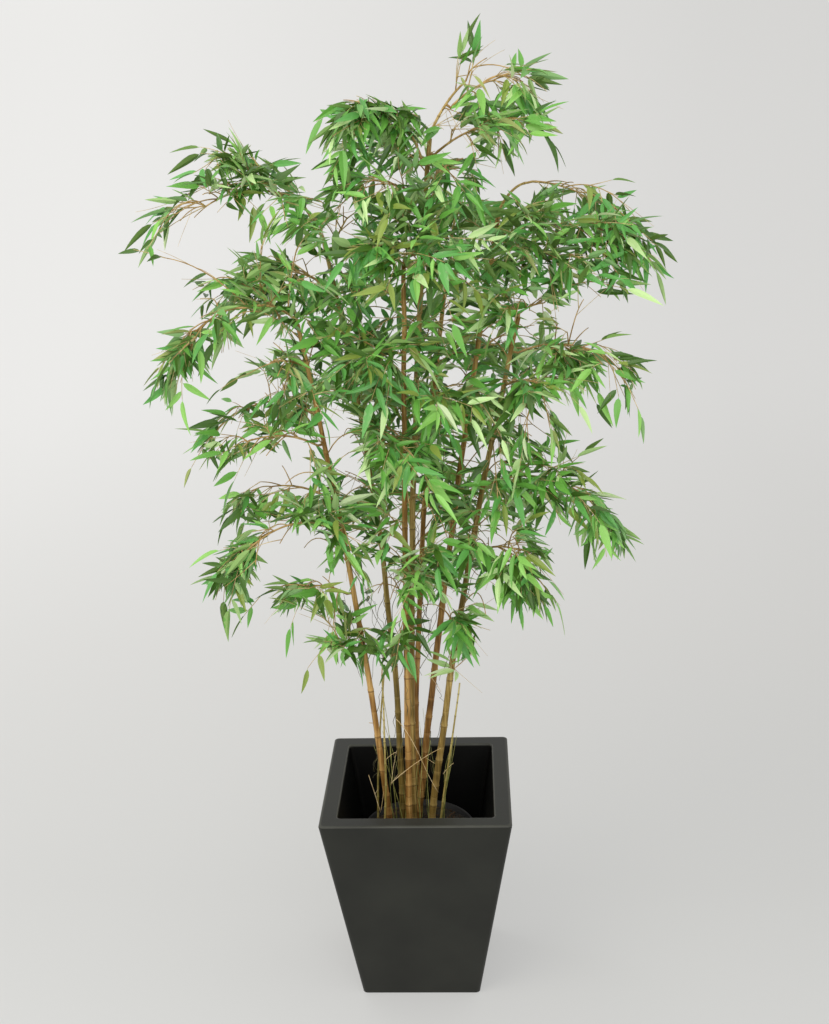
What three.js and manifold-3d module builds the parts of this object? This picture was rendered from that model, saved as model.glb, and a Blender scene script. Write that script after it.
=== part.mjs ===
// Potted bamboo: an artificial bamboo of seven jointed canes in a tall tapered square planter.
// Millimetres, +Z up. The origin is the centre of the planter's flat underside, and the front faces -Y.
// Every limb and every mass of foliage is one closed solid, and pieces that touch stand FIT apart.
import * as THREE from "three";
import Module from "manifold-3d";

const wasm = await Module();
wasm.setup();

// ---- driving dimensions -------------------------------------------------------------------------------------------
const FIT = 0.3; // clearance between pieces that touch

const PLANTER_HEIGHT = 456;
const PLANTER_TOP = 400; // outer side of the square rim
const PLANTER_BASE = 256; // outer side of the square underside
const PLANTER_WALL = 36.5; // wall, and width of the flat rim
const PLANTER_FLOOR = 30; // thickness of the floor
const PLANTER_ROUND = 9; // radius of the upright corners
const PLANTER_EDGE = 3; // chamfer along the rim and the foot

const POT_RIM_RADIUS = 122; // the round growing pot that stands inside the planter
const POT_FOOT_RADIUS = 84;
const POT_HEIGHT = 308;
const POT_WALL = 3;
const POT_SIDES = 20;

const SOIL_TOP = 334; // level of the flat top of the filling, where the canes are cut
const SOIL_FLAT_RADIUS = 92; // the filling is flat out to here, then slopes down to the pot's wall
const SOIL_EDGE_DROP = 9;

const CANE_SIDES = 6;
const NODE_SWELL = 1.1; // how far a node's ring stands out of the cane
const NODE_STEP = 6; // height over which a node steps back to the next length of cane
const SHOOT_SIDES = 5;
const BOUGH_SIDES = 6;
const BOUGH_STEPS = 5;

const STEM_RADIUS = 3.4; // the stem of a mass at its root
const STEM_STEPS = 3;
const SPINE_PIECES = 8; // straight pieces that stand for a spine in distances
const LEAD = 8; // a bough or a stem leaves its limb straight for this far
const TWIG_RADIUS = 2.1;
const TWIG_TAPER = 0.8; // radius at the end of a stem or a twig, as a share of its root's
const LEAF_SHARE = 1.3; // a leaf's length, as a share of its mass's spread: larger than life, each for a few real leaves
const LEAF_WIDTH = 0.3; // widest width of a leaf, as a share of its length
const LEAF_THICK = 2.6; // thickness of a leaf at its widest
const LEAF_WIDEST = 0.36; // where along its length a leaf is widest
const PETIOLE_WIDTH = 1.4; // width of a leaf at its root
const PETIOLE_THICK = 1;
const LEAF_SINK = 4; // the leaves beside a stem's end leaf are rooted this far short of the end
const STEM_LEAST = 0.42; // a stem runs to one leaf short of its spine's end, and at least this far along it
const LEAF_ROLL = [50, 28]; // middle and swing of a leaf's roll about its midrib, to either hand, in degrees
const LEAF_TRIES = 12;
const WOOD_GAP = 9; // a blade's midrib keeps this far from wood, past its own root
const LEAF_GAP = 15; // and this far from the midribs of the mass's other leaves
const LIMB_GAP = 1.5; // and this far from every limb
const LIMB_PITCH = 11; // as tested at points this far apart
const SPACE_GAP = 4; // a mass keeps this far inside the border that it shares with its neighbour

// ---- the limbs ----------------------------------------------------------------------------------------------------
// A cane runs from its flat cut on the soil, foot [x, y], to its head [x, y, z], and bows sideways by `bow` at the middle.
const CANES = [
  { name: "cane_left", foot: [-60, -30], head: [-200, -80, 1475], bow: 14, foot_radius: 6.8, head_radius: 4.2 },
  { name: "cane_left_back", foot: [-38, 30], head: [-160, 100, 1605], bow: 33, foot_radius: 6.8, head_radius: 4.2 },
  { name: "cane_front", foot: [-20, -36], head: [5, -50, 1580], bow: -3, foot_radius: 7.2, head_radius: 4.4 },
  { name: "cane_tall", foot: [-12, -3], head: [59, 0, 1808], bow: -17, foot_radius: 7.6, head_radius: 4.4 },
  { name: "cane_back", foot: [-8, 58], head: [88, 105, 1560], bow: -21, foot_radius: 6.4, head_radius: 4.2 },
  { name: "cane_right_back", foot: [-4, 32], head: [188, 60, 1657], bow: -10, foot_radius: 7.6, head_radius: 4.4 },
  { name: "cane_right", foot: [25, -22], head: [222, -60, 1476], bow: -16, foot_radius: 7.6, head_radius: 4.4 },
];
const SHOOTS = [
  { name: "shoot_left", foot: [-92, 4], head: [-63, -10, 733], bow: -4, foot_radius: 2.4, head_radius: 1.6 },
  { name: "shoot_middle", foot: [-74, -62], head: [-66, -58, 731], bow: 4, foot_radius: 2.4, head_radius: 1.6 },
  { name: "shoot_right", foot: [40, -52], head: [96, -66, 715], bow: 1, foot_radius: 2.4, head_radius: 1.6 },
];

// A bough leaves `limb` at `at` and ends `reach` out along `bearing` and `rise` up, by way of `crest`. In every row below,
// `at` up to 1 is a share of the limb's length, 1 is its tip, and more than 1 is a height over the floor. A bearing is in
// degrees round from +X towards +Y.
const BOUGHS = [
  { name: "bough_left_high", limb: "cane_left_back", at: 1, bearing: 192, reach: 92, crest: 100, rise: 122, root_radius: 4, tip_radius: 3 },
  { name: "bough_left_second", limb: "cane_left", at: 1, bearing: 184, reach: 92, crest: 48, rise: 36, root_radius: 4, tip_radius: 3 },
  { name: "bough_top_left", limb: "cane_tall", at: 1770, bearing: 190, reach: 66, crest: 66, rise: 86, root_radius: 3.6, tip_radius: 2.8 },
  { name: "bough_top_right", limb: "cane_tall", at: 1, bearing: 5, reach: 64, crest: 66, rise: 96, root_radius: 4, tip_radius: 2.8 },
  { name: "bough_right_first", limb: "cane_right_back", at: 1, bearing: 358, reach: 58, crest: 58, rise: 60, root_radius: 4, tip_radius: 3 },
  { name: "bough_back", limb: "cane_back", at: 1, bearing: 75, reach: 80, crest: 78, rise: 92, root_radius: 4, tip_radius: 3 },
];

// ---- the masses of foliage ------------------------------------------------------------------------------------------
// A mass grows round a spine, which leaves `limb` at `at` and ends `reach` out along `bearing` and `end` up or down, by way of
// `crest`. `spread` is how far its twigs and leaves reach to each side, and `twigs` how many side twigs it bears.
const MASSES = [
  // top of the crown
  { name: "foliage_top_leader", limb: "bough_top_right", at: 1, bearing: 345, reach: 42, crest: 40, end: 38, spread: 62, twigs: 2 },
  { name: "foliage_top_right_upper", limb: "bough_top_right", at: 0.6, bearing: 344, reach: 205, crest: 80, end: 25, spread: 90, twigs: 4 },
  { name: "foliage_top_right_lower", limb: "cane_tall", at: 1780, bearing: 331, reach: 265, crest: 84, end: 50, spread: 102, twigs: 4 },
  { name: "foliage_top_right_back", limb: "cane_tall", at: 1735, bearing: 45, reach: 225, crest: 60, end: 10, spread: 105, twigs: 4 },
  { name: "foliage_top_left", limb: "bough_top_left", at: 1, bearing: 200, reach: 130, crest: 30, end: -25, spread: 90, twigs: 4 },
  { name: "foliage_top_left_low", limb: "cane_tall", at: 1700, bearing: 215, reach: 215, crest: 60, end: 10, spread: 105, twigs: 4 },
  { name: "foliage_top_back", limb: "cane_tall", at: 1760, bearing: 105, reach: 230, crest: 30, end: -30, spread: 105, twigs: 4 },
  // left side, from the top down
  { name: "foliage_left_high_inner", limb: "bough_left_high", at: 1, bearing: 172, reach: 185, crest: 70, end: 50, spread: 85, twigs: 4 },
  { name: "foliage_left_high_outer", limb: "bough_left_high", at: 0.7, bearing: 212, reach: 295, crest: 70, end: -90, spread: 90, twigs: 5 },
  { name: "foliage_left_shoulder", limb: "cane_left_back", at: 1520, bearing: 205, reach: 235, crest: 80, end: 0, spread: 110, twigs: 4 },
  { name: "foliage_left_top", limb: "cane_left_back", at: 1585, bearing: 320, reach: 140, crest: 100, end: 130, spread: 90, twigs: 3 },
  { name: "foliage_left_second_upper", limb: "bough_left_second", at: 0.5, bearing: 155, reach: 205, crest: 80, end: 55, spread: 95, twigs: 4 },
  { name: "foliage_left_second_outer", limb: "bough_left_second", at: 1, bearing: 195, reach: 190, crest: 10, end: -150, spread: 90, twigs: 4 },
  { name: "foliage_left_third", limb: "cane_left", at: 1400, bearing: 220, reach: 185, crest: 40, end: -30, spread: 95, twigs: 4 },
  { name: "foliage_left_fourth_upper", limb: "cane_left", at: 1300, bearing: 165, reach: 255, crest: 70, end: -100, spread: 95, twigs: 4 },
  { name: "foliage_left_fourth_lower", limb: "cane_left", at: 1235, bearing: 195, reach: 260, crest: 70, end: -45, spread: 90, twigs: 4 },
  { name: "foliage_left_fifth_upper", limb: "cane_left", at: 1120, bearing: 155, reach: 270, crest: 50, end: -50, spread: 95, twigs: 4 },
  { name: "foliage_left_fifth_lower", limb: "cane_left", at: 1055, bearing: 200, reach: 300, crest: 90, end: -140, spread: 90, twigs: 4 },
  { name: "foliage_left_sixth", limb: "cane_left", at: 915, bearing: 185, reach: 185, crest: 50, end: -20, spread: 75, twigs: 3 },
  { name: "foliage_left_lowest", limb: "cane_left", at: 790, bearing: 225, reach: 120, crest: 40, end: 20, spread: 60, twigs: 2 },
  // right side, from the top down
  { name: "foliage_right_first_upper", limb: "bough_right_first", at: 1, bearing: 350, reach: 220, crest: 0, end: -95, spread: 100, twigs: 4 },
  { name: "foliage_right_first_outer", limb: "cane_right_back", at: 1620, bearing: 338, reach: 350, crest: 60, end: -30, spread: 110, twigs: 5 },
  { name: "foliage_right_first_lower", limb: "cane_right_back", at: 1570, bearing: 315, reach: 290, crest: 50, end: -50, spread: 110, twigs: 5 },
  { name: "foliage_right_dark", limb: "cane_right", at: 1, bearing: 45, reach: 180, crest: 40, end: -25, spread: 95, twigs: 4 },
  { name: "foliage_right_second_outer", limb: "cane_right", at: 1410, bearing: 355, reach: 285, crest: 55, end: -80, spread: 100, twigs: 5 },
  { name: "foliage_right_second_front", limb: "cane_right", at: 1350, bearing: 305, reach: 235, crest: 45, end: -20, spread: 105, twigs: 4 },
  { name: "foliage_right_third", limb: "cane_right", at: 1235, bearing: 60, reach: 175, crest: 40, end: -40, spread: 85, twigs: 3 },
  { name: "foliage_right_fourth_outer", limb: "cane_right", at: 1145, bearing: 352, reach: 330, crest: 70, end: -145, spread: 95, twigs: 4 },
  { name: "foliage_right_fifth", limb: "cane_right", at: 1000, bearing: 320, reach: 235, crest: 65, end: -20, spread: 90, twigs: 4 },
  { name: "foliage_right_low", limb: "cane_right", at: 840, bearing: 245, reach: 90, crest: 40, end: 10, spread: 60, twigs: 2 },
  // front
  { name: "foliage_front_high", limb: "cane_front", at: 1, bearing: 300, reach: 260, crest: 60, end: -20, spread: 115, twigs: 4 },
  { name: "foliage_front_mid_left", limb: "cane_front", at: 1410, bearing: 230, reach: 245, crest: 50, end: -20, spread: 110, twigs: 4 },
  { name: "foliage_front_mid", limb: "cane_front", at: 1240, bearing: 262, reach: 270, crest: 60, end: -30, spread: 110, twigs: 4 },
  { name: "foliage_front_mid_right", limb: "cane_front", at: 1320, bearing: 315, reach: 255, crest: 60, end: -20, spread: 110, twigs: 4 },
  { name: "foliage_front_low", limb: "cane_front", at: 960, bearing: 285, reach: 220, crest: 50, end: -10, spread: 85, twigs: 4 },
  // back
  { name: "foliage_back_high", limb: "bough_back", at: 1, bearing: 85, reach: 220, crest: 40, end: -50, spread: 110, twigs: 4 },
  { name: "foliage_back_upper_left", limb: "cane_left_back", at: 1465, bearing: 99, reach: 240, crest: 60, end: -20, spread: 105, twigs: 4 },
  { name: "foliage_back_left", limb: "cane_left_back", at: 1270, bearing: 112, reach: 270, crest: 60, end: -50, spread: 115, twigs: 4 },
  { name: "foliage_back_right", limb: "cane_right_back", at: 1380, bearing: 62, reach: 280, crest: 60, end: -50, spread: 115, twigs: 4 },
  { name: "foliage_back_low_left", limb: "cane_left_back", at: 1060, bearing: 102, reach: 250, crest: 60, end: -40, spread: 100, twigs: 4 },
  { name: "foliage_back_low_right", limb: "cane_right_back", at: 1070, bearing: 55, reach: 265, crest: 60, end: -50, spread: 105, twigs: 4 },
].map((mass, row) => ({ ...mass, seed: row + 11 }));

// ---- finishes -------------------------------------------------------------------------------------------------------
const FINISH = {
  planter: { color: "#33332f", roughness: 0.62, metalness: 0 },
  growing_pot: { color: "#161615", roughness: 0.5, metalness: 0 },
  soil: { color: "#2c2a1f", roughness: 0.95, metalness: 0 },
  cane: { color: "#a87c42", roughness: 0.55, metalness: 0 },
  shoot: { color: "#8d8a45", roughness: 0.55, metalness: 0 },
  bough: { color: "#9a7a40", roughness: 0.6, metalness: 0 },
  leaf: { color: "#4a8a4c", roughness: 0.5, metalness: 0 },
};
const LEAF_COLORS = ["#3c7040", "#4d9150", "#62a24c", "#3f8058"];

const group = new THREE.Group();
group.name = "potted_bamboo";

// Adds one closed solid to the group as a named mesh with its own material.
function addSolid(name, geometry, finish, color = finish.color) {
  const mesh = new THREE.Mesh(geometry, new THREE.MeshStandardMaterial({ ...finish, color }));
  mesh.name = name;
  group.add(mesh);
}

// ---- small vector helpers -------------------------------------------------------------------------------------------
const vec = (x, y, z) => new THREE.Vector3(x, y, z);
const UP = vec(0, 0, 1);
const radians = (degrees) => (degrees * Math.PI) / 180;
const heading = (degrees) => vec(Math.cos(radians(degrees)), Math.sin(radians(degrees)), 0);
const along = (point, direction, distance) => point.clone().addScaledVector(direction, distance);

// `turn` swings a direction aside, in degrees, and `lift` tilts it up.
const swung = (direction, turn, lift) =>
  direction.clone().applyAxisAngle(UP, radians(turn)).addScaledVector(UP, lift).normalize();

// A repeatable stream of numbers from 0 to 1, so that a mass always grows the same way.
function seeded(seed) {
  let state = seed * 2654435761;
  return () => {
    state = (state + 0x6d2b79f5) | 0;
    let t = Math.imul(state ^ (state >>> 15), state | 1);
    t ^= t + Math.imul(t ^ (t >>> 7), t | 61);
    return ((t ^ (t >>> 14)) >>> 0) / 4294967296;
  };
}

// A repeatable choice of middle plus or minus swing.
function varied(seed) {
  const random = seeded(seed);
  return (middle, swing) => middle + swing * (2 * random() - 1);
}

// ---- surfaces -------------------------------------------------------------------------------------------------------
// Joins rings of points into one closed surface: quads between neighbouring rings, and a flat fan over each end. The last
// ring may be a single point, which closes the surface as a tip.
function skin(rings) {
  const count = rings[0].length;
  const positions = rings.flat().flatMap((point) => [point.x, point.y, point.z]);
  const index = [];
  for (let ring = 0; ring + 1 < rings.length; ring++) {
    for (let side = 0; side < count; side++) {
      const a = ring * count + side;
      const b = ring * count + ((side + 1) % count);
      if (rings[ring + 1].length === 1) index.push(a, b, (ring + 1) * count);
      else index.push(a, b, b + count, a, b + count, a + count);
    }
  }
  const last = (rings.length - 1) * count;
  for (let side = 1; side + 1 < count; side++) {
    index.push(0, side + 1, side);
    if (rings.at(-1).length > 1) index.push(last, last + side, last + side + 1);
  }
  const geometry = new THREE.BufferGeometry();
  geometry.setAttribute("position", new THREE.Float32BufferAttribute(positions, 3));
  geometry.setIndex(index);
  return geometry;
}

// The rings of a tapered limb: `sides` points round each section's centre, square to the centre line. `first` is the way that
// the first ring faces.
function limbRings(sections, sides, first) {
  const rings = [];
  let side = new THREE.Vector3();
  sections.forEach(({ centre, radius }, i) => {
    const before = sections[Math.max(i - 1, 0)].centre;
    const after = sections[Math.min(i + 1, sections.length - 1)].centre;
    const forward = i === 0 ? first.clone() : after.clone().sub(before).normalize();
    if (i === 0) side = new THREE.Vector3().crossVectors(Math.abs(forward.z) < 0.9 ? UP : vec(1, 0, 0), forward).normalize();
    side.addScaledVector(forward, -side.dot(forward)).normalize();
    const up = new THREE.Vector3().crossVectors(forward, side);
    rings.push(
      Array.from({ length: sides }, (_, k) => {
        const angle = (2 * Math.PI * k) / sides - Math.PI / 2;
        return along(along(centre, side, radius * Math.cos(angle)), up, radius * Math.sin(angle));
      }),
    );
  });
  return rings;
}

const toManifold = (geometry) =>
  new wasm.Manifold(
    new wasm.Mesh({
      numProp: 3,
      vertProperties: new Float32Array(geometry.attributes.position.array),
      triVerts: new Uint32Array(geometry.index.array),
    }),
  );

function fromManifold(solid) {
  const mesh = solid.getMesh();
  const geometry = new THREE.BufferGeometry();
  geometry.setAttribute("position", new THREE.Float32BufferAttribute(mesh.vertProperties, 3));
  geometry.setIndex([...mesh.triVerts]);
  return geometry;
}

// ---- planter, growing pot and soil ----------------------------------------------------------------------------------
// A square ring with rounded corners at height z, `side` across, three points to a corner.
function squareRing(side, round, z) {
  const centre = side / 2 - round;
  const ring = [];
  for (let corner = 0; corner < 4; corner++) {
    for (let step = 0; step < 3; step++) {
      const angle = radians(corner * 90 + step * 45);
      const sx = corner === 0 || corner === 3 ? 1 : -1;
      const sy = corner < 2 ? 1 : -1;
      ring.push(vec(sx * centre + round * Math.cos(angle), sy * centre + round * Math.sin(angle), z));
    }
  }
  return ring;
}

function buildPlanter() {
  const sideAt = (z) => PLANTER_BASE + ((PLANTER_TOP - PLANTER_BASE) * z) / PLANTER_HEIGHT;
  const edge = PLANTER_EDGE;
  const inner = (z) => sideAt(z) - 2 * PLANTER_WALL;
  return skin([
    squareRing(sideAt(0) - 2 * edge, PLANTER_ROUND, 0),
    squareRing(sideAt(edge), PLANTER_ROUND, edge),
    squareRing(sideAt(PLANTER_HEIGHT - edge), PLANTER_ROUND, PLANTER_HEIGHT - edge),
    squareRing(sideAt(PLANTER_HEIGHT) - 2 * edge, PLANTER_ROUND, PLANTER_HEIGHT),
    squareRing(inner(PLANTER_HEIGHT) + 2 * edge, PLANTER_ROUND, PLANTER_HEIGHT),
    squareRing(inner(PLANTER_HEIGHT - edge), PLANTER_ROUND, PLANTER_HEIGHT - edge),
    squareRing(inner(PLANTER_FLOOR), PLANTER_ROUND, PLANTER_FLOOR),
  ]);
}

// A solid of revolution about Z from a profile of [radius, height] that starts and ends on the axis.
function turned(profile) {
  const lathe = new THREE.LatheGeometry(profile.map(([radius, z]) => new THREE.Vector2(radius, z)), POT_SIDES);
  return lathe.rotateX(Math.PI / 2);
}

function buildPot(foot) {
  const wallInside = (z) => potRadius(z) - POT_WALL;
  const lip = 6;
  return turned([
    [0, foot],
    [potRadius(foot), foot],
    [potRadius(foot + POT_HEIGHT - lip), foot + POT_HEIGHT - lip],
    [POT_RIM_RADIUS + 2, foot + POT_HEIGHT - lip],
    [POT_RIM_RADIUS + 2, foot + POT_HEIGHT],
    [wallInside(foot + POT_HEIGHT), foot + POT_HEIGHT],
    [wallInside(foot + POT_WALL), foot + POT_WALL],
    [0, foot + POT_WALL],
  ]);
}

const POT_FOOT = PLANTER_FLOOR + FIT;
const potRadius = (z) => POT_FOOT_RADIUS + ((POT_RIM_RADIUS - POT_FOOT_RADIUS) * (z - POT_FOOT)) / POT_HEIGHT;

function buildSoil() {
  const inside = (z) => potRadius(z) - POT_WALL - FIT;
  const base = POT_FOOT + POT_WALL + FIT;
  const edge = SOIL_TOP - SOIL_EDGE_DROP;
  return turned([
    [0, base],
    [inside(base), base],
    [inside(edge), edge],
    [(SOIL_FLAT_RADIUS + inside(edge)) / 2, SOIL_TOP - SOIL_EDGE_DROP / 3],
    [SOIL_FLAT_RADIUS, SOIL_TOP],
    [0, SOIL_TOP],
  ]);
}

addSolid("planter", buildPlanter(), FINISH.planter);
addSolid("growing_pot", buildPot(POT_FOOT), FINISH.growing_pot);
addSolid("soil", buildSoil(), FINISH.soil);

// ---- limbs ----------------------------------------------------------------------------------------------------------
// A limb is a list of sections { share, centre, radius } from its foot at share 0 to its tip at share 1, joined by straight
// lengths, and share(at), which turns `at` in a row above into a share.
const limbs = {};

// The centre line of a cane: its foot and its head with a sideways bow between them, which is one quadratic curve.
function caneCurve({ foot, head, bow }) {
  const start = vec(foot[0], foot[1], SOIL_TOP + FIT);
  const end = vec(...head);
  const middle = start.clone().add(end).multiplyScalar(0.5).add(vec(2 * bow, 0, 0));
  return new THREE.QuadraticBezierCurve3(start, middle, end);
}

// Heights of a cane's nodes over its foot: close together at the foot and wider apart upwards.
function nodeHeights(length, phase) {
  const heights = [];
  let step = 36;
  for (let height = 18 + phase; height < length - 30; height += step) {
    heights.push(height);
    step = Math.min(step * 1.32, 190);
  }
  return heights;
}

// Keeps a cane as a limb and adds its solid. `swells` lists [height over the foot, how far the section stands out].
function addCane(cane, swells, sides, finish) {
  const curve = caneCurve(cane);
  const length = cane.head[2] - SOIL_TOP;
  const sections = swells.map(([height, swell]) => {
    const share = height / length;
    return { share, centre: curve.getPoint(share), radius: THREE.MathUtils.lerp(cane.foot_radius, cane.head_radius, share) + swell };
  });
  limbs[cane.name] = { sections, share: (at) => (at <= 1 ? at : (at - SOIL_TOP) / length) };
  const rings = limbRings(sections, sides, UP);
  rings[0].forEach((point) => point.setZ(SOIL_TOP + FIT)); // the flat cut
  addSolid(cane.name, skin(rings), finish);
}

CANES.forEach((cane, row) => {
  const length = cane.head[2] - SOIL_TOP;
  const nodes = nodeHeights(length, (row * 13) % 30).flatMap((height) => [[height, NODE_SWELL], [height + NODE_STEP, 0]]);
  addCane(cane, [[0, 0], ...nodes, [length, 0]], CANE_SIDES, FINISH.cane);
});

SHOOTS.forEach((shoot) => {
  const length = shoot.head[2] - SOIL_TOP;
  addCane(shoot, [0, 0.25, 0.5, 0.75, 1].map((share) => [share * length, 0]), SHOOT_SIDES, FINISH.shoot);
});

// The centre and the radius of a limb at a share, and the way that it runs there.
function placeOn({ sections }, share) {
  const next = Math.max(1, sections.findIndex((section) => section.share >= share));
  const [low, high] = [sections[next - 1], sections[next]];
  const part = (share - low.share) / (high.share - low.share);
  return {
    centre: low.centre.clone().lerp(high.centre, part),
    radius: THREE.MathUtils.lerp(low.radius, high.radius, part),
    axis: high.centre.clone().sub(low.centre).normalize(),
  };
}

// The place where a piece leaves a limb: on the tip along the limb's end, or on its side, FIT clear of its surface.
function rootOn({ limb: name, at, bearing }) {
  const limb = limbs[name];
  const share = limb.share(at);
  const { centre, axis } = placeOn(limb, share);
  if (share === 1) return { point: along(centre, axis, FIT), facing: axis };
  const facing = heading(bearing).addScaledVector(axis, -heading(bearing).dot(axis)).normalize();
  const beside = (1.2 * STEM_RADIUS) / limb.sections[0].centre.distanceTo(limb.sections.at(-1).centre);
  const surface = Math.max(...[-beside, 0, beside].map((step) => placeOn(limb, share + step).radius));
  return { point: along(centre, facing, surface + FIT), facing };
}

// The centre line past a root's straight lead: out along the bearing by way of the crest to the end.
function branchCurve(root, bearing, reach, crest, rise) {
  const out = heading(bearing);
  const control = along(along(root.point, out, 0.45 * reach), UP, crest);
  const end = along(along(root.point, out, reach), UP, rise);
  return new THREE.QuadraticBezierCurve3(along(root.point, root.facing, LEAD), control, end);
}

// Sections from a root along its curve up to the share `upTo`, tapering evenly between two radii.
function branchSections(root, curve, upTo, steps, startRadius, endRadius) {
  const centres = [root.point, ...Array.from({ length: steps + 1 }, (_, k) => curve.getPoint((upTo * k) / steps))];
  return centres.map((centre, k) => {
    const share = k / (centres.length - 1);
    return { share, centre, radius: THREE.MathUtils.lerp(startRadius, endRadius, share) };
  });
}

BOUGHS.forEach((bough) => {
  const root = rootOn(bough);
  const curve = branchCurve(root, bough.bearing, bough.reach, bough.crest, bough.rise);
  const sections = branchSections(root, curve, 1, BOUGH_STEPS, bough.root_radius, bough.tip_radius);
  limbs[bough.name] = { sections, share: (at) => at };
  addSolid(bough.name, skin(limbRings(sections, BOUGH_SIDES, root.facing)), FINISH.bough);
});

// ---- the space of each mass -----------------------------------------------------------------------------------------
// The straight pieces through a list of points, or along a curve up to a share, for distances to them.
const linesThrough = (points) => points.slice(1).map((point, k) => new THREE.Line3(points[k], point));
const linesAlong = (curve, upTo = 1) =>
  linesThrough(Array.from({ length: SPINE_PIECES + 1 }, (_, k) => curve.getPoint((upTo * k) / SPINE_PIECES)));
const nearest = new THREE.Vector3();
const distanceTo = (lines, point) =>
  Math.min(Infinity, ...lines.map((line) => line.closestPointToPoint(point, true, nearest).distanceTo(point)));

const limbLines = Object.values(limbs).map(({ sections }) => ({
  lines: linesThrough(sections.map(({ centre }) => centre)),
  radius: Math.max(...sections.map(({ radius }) => radius)),
}));
const spines = MASSES.map((mass) => {
  const root = rootOn(mass);
  const curve = branchCurve(root, mass.bearing, mass.reach, mass.crest, mass.end);
  const leaf = LEAF_SHARE * mass.spread;
  const stem = Math.max(STEM_LEAST, 1 - leaf / curve.getLength());
  return { ...mass, root, curve, leaf, stem, lines: linesAlong(curve) };
});

// True where every point is nearer to its own spine than to any other.
const inSpace = (spine, points) =>
  points.every((point) => {
    const own = distanceTo(spine.lines, point);
    return spines.every((other) => other === spine || distanceTo(other.lines, point) > own + SPACE_GAP);
  });

// True where every point is clear of every limb.
const clearOfLimbs = (points) =>
  points.every((point) => limbLines.every(({ lines, radius }) => distanceTo(lines, point) > radius + LIMB_GAP));

// Points along the straight lines through `corners`, no more than `pitch` apart.
const pointsAlong = (corners, pitch) =>
  corners.slice(1).flatMap((corner, k) => {
    const count = Math.ceil(corner.distanceTo(corners[k]) / pitch);
    return Array.from({ length: count }, (_, step) => corners[k].clone().lerp(corner, (step + 1) / count));
  });

// ---- growth of a mass -----------------------------------------------------------------------------------------------
// A leaf as three rings: a small triangle at its root, a wide one where it is widest, and its tip. The blade is level when
// `roll` is 0, and its midrib is raised underneath.
function leafRings(root, direction, roll, length) {
  const across = new THREE.Vector3().crossVectors(UP, direction).normalize().applyAxisAngle(direction, radians(roll));
  const face = new THREE.Vector3().crossVectors(direction, across);
  const triangle = (centre, width, thick) => [
    along(centre, face, (-2 * thick) / 3),
    along(along(centre, across, width / 2), face, thick / 3),
    along(along(centre, across, -width / 2), face, thick / 3),
  ];
  return [
    triangle(root, PETIOLE_WIDTH, PETIOLE_THICK),
    triangle(along(root, direction, LEAF_WIDEST * length), LEAF_WIDTH * length, LEAF_THICK),
    [along(root, direction, length)],
  ];
}

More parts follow.
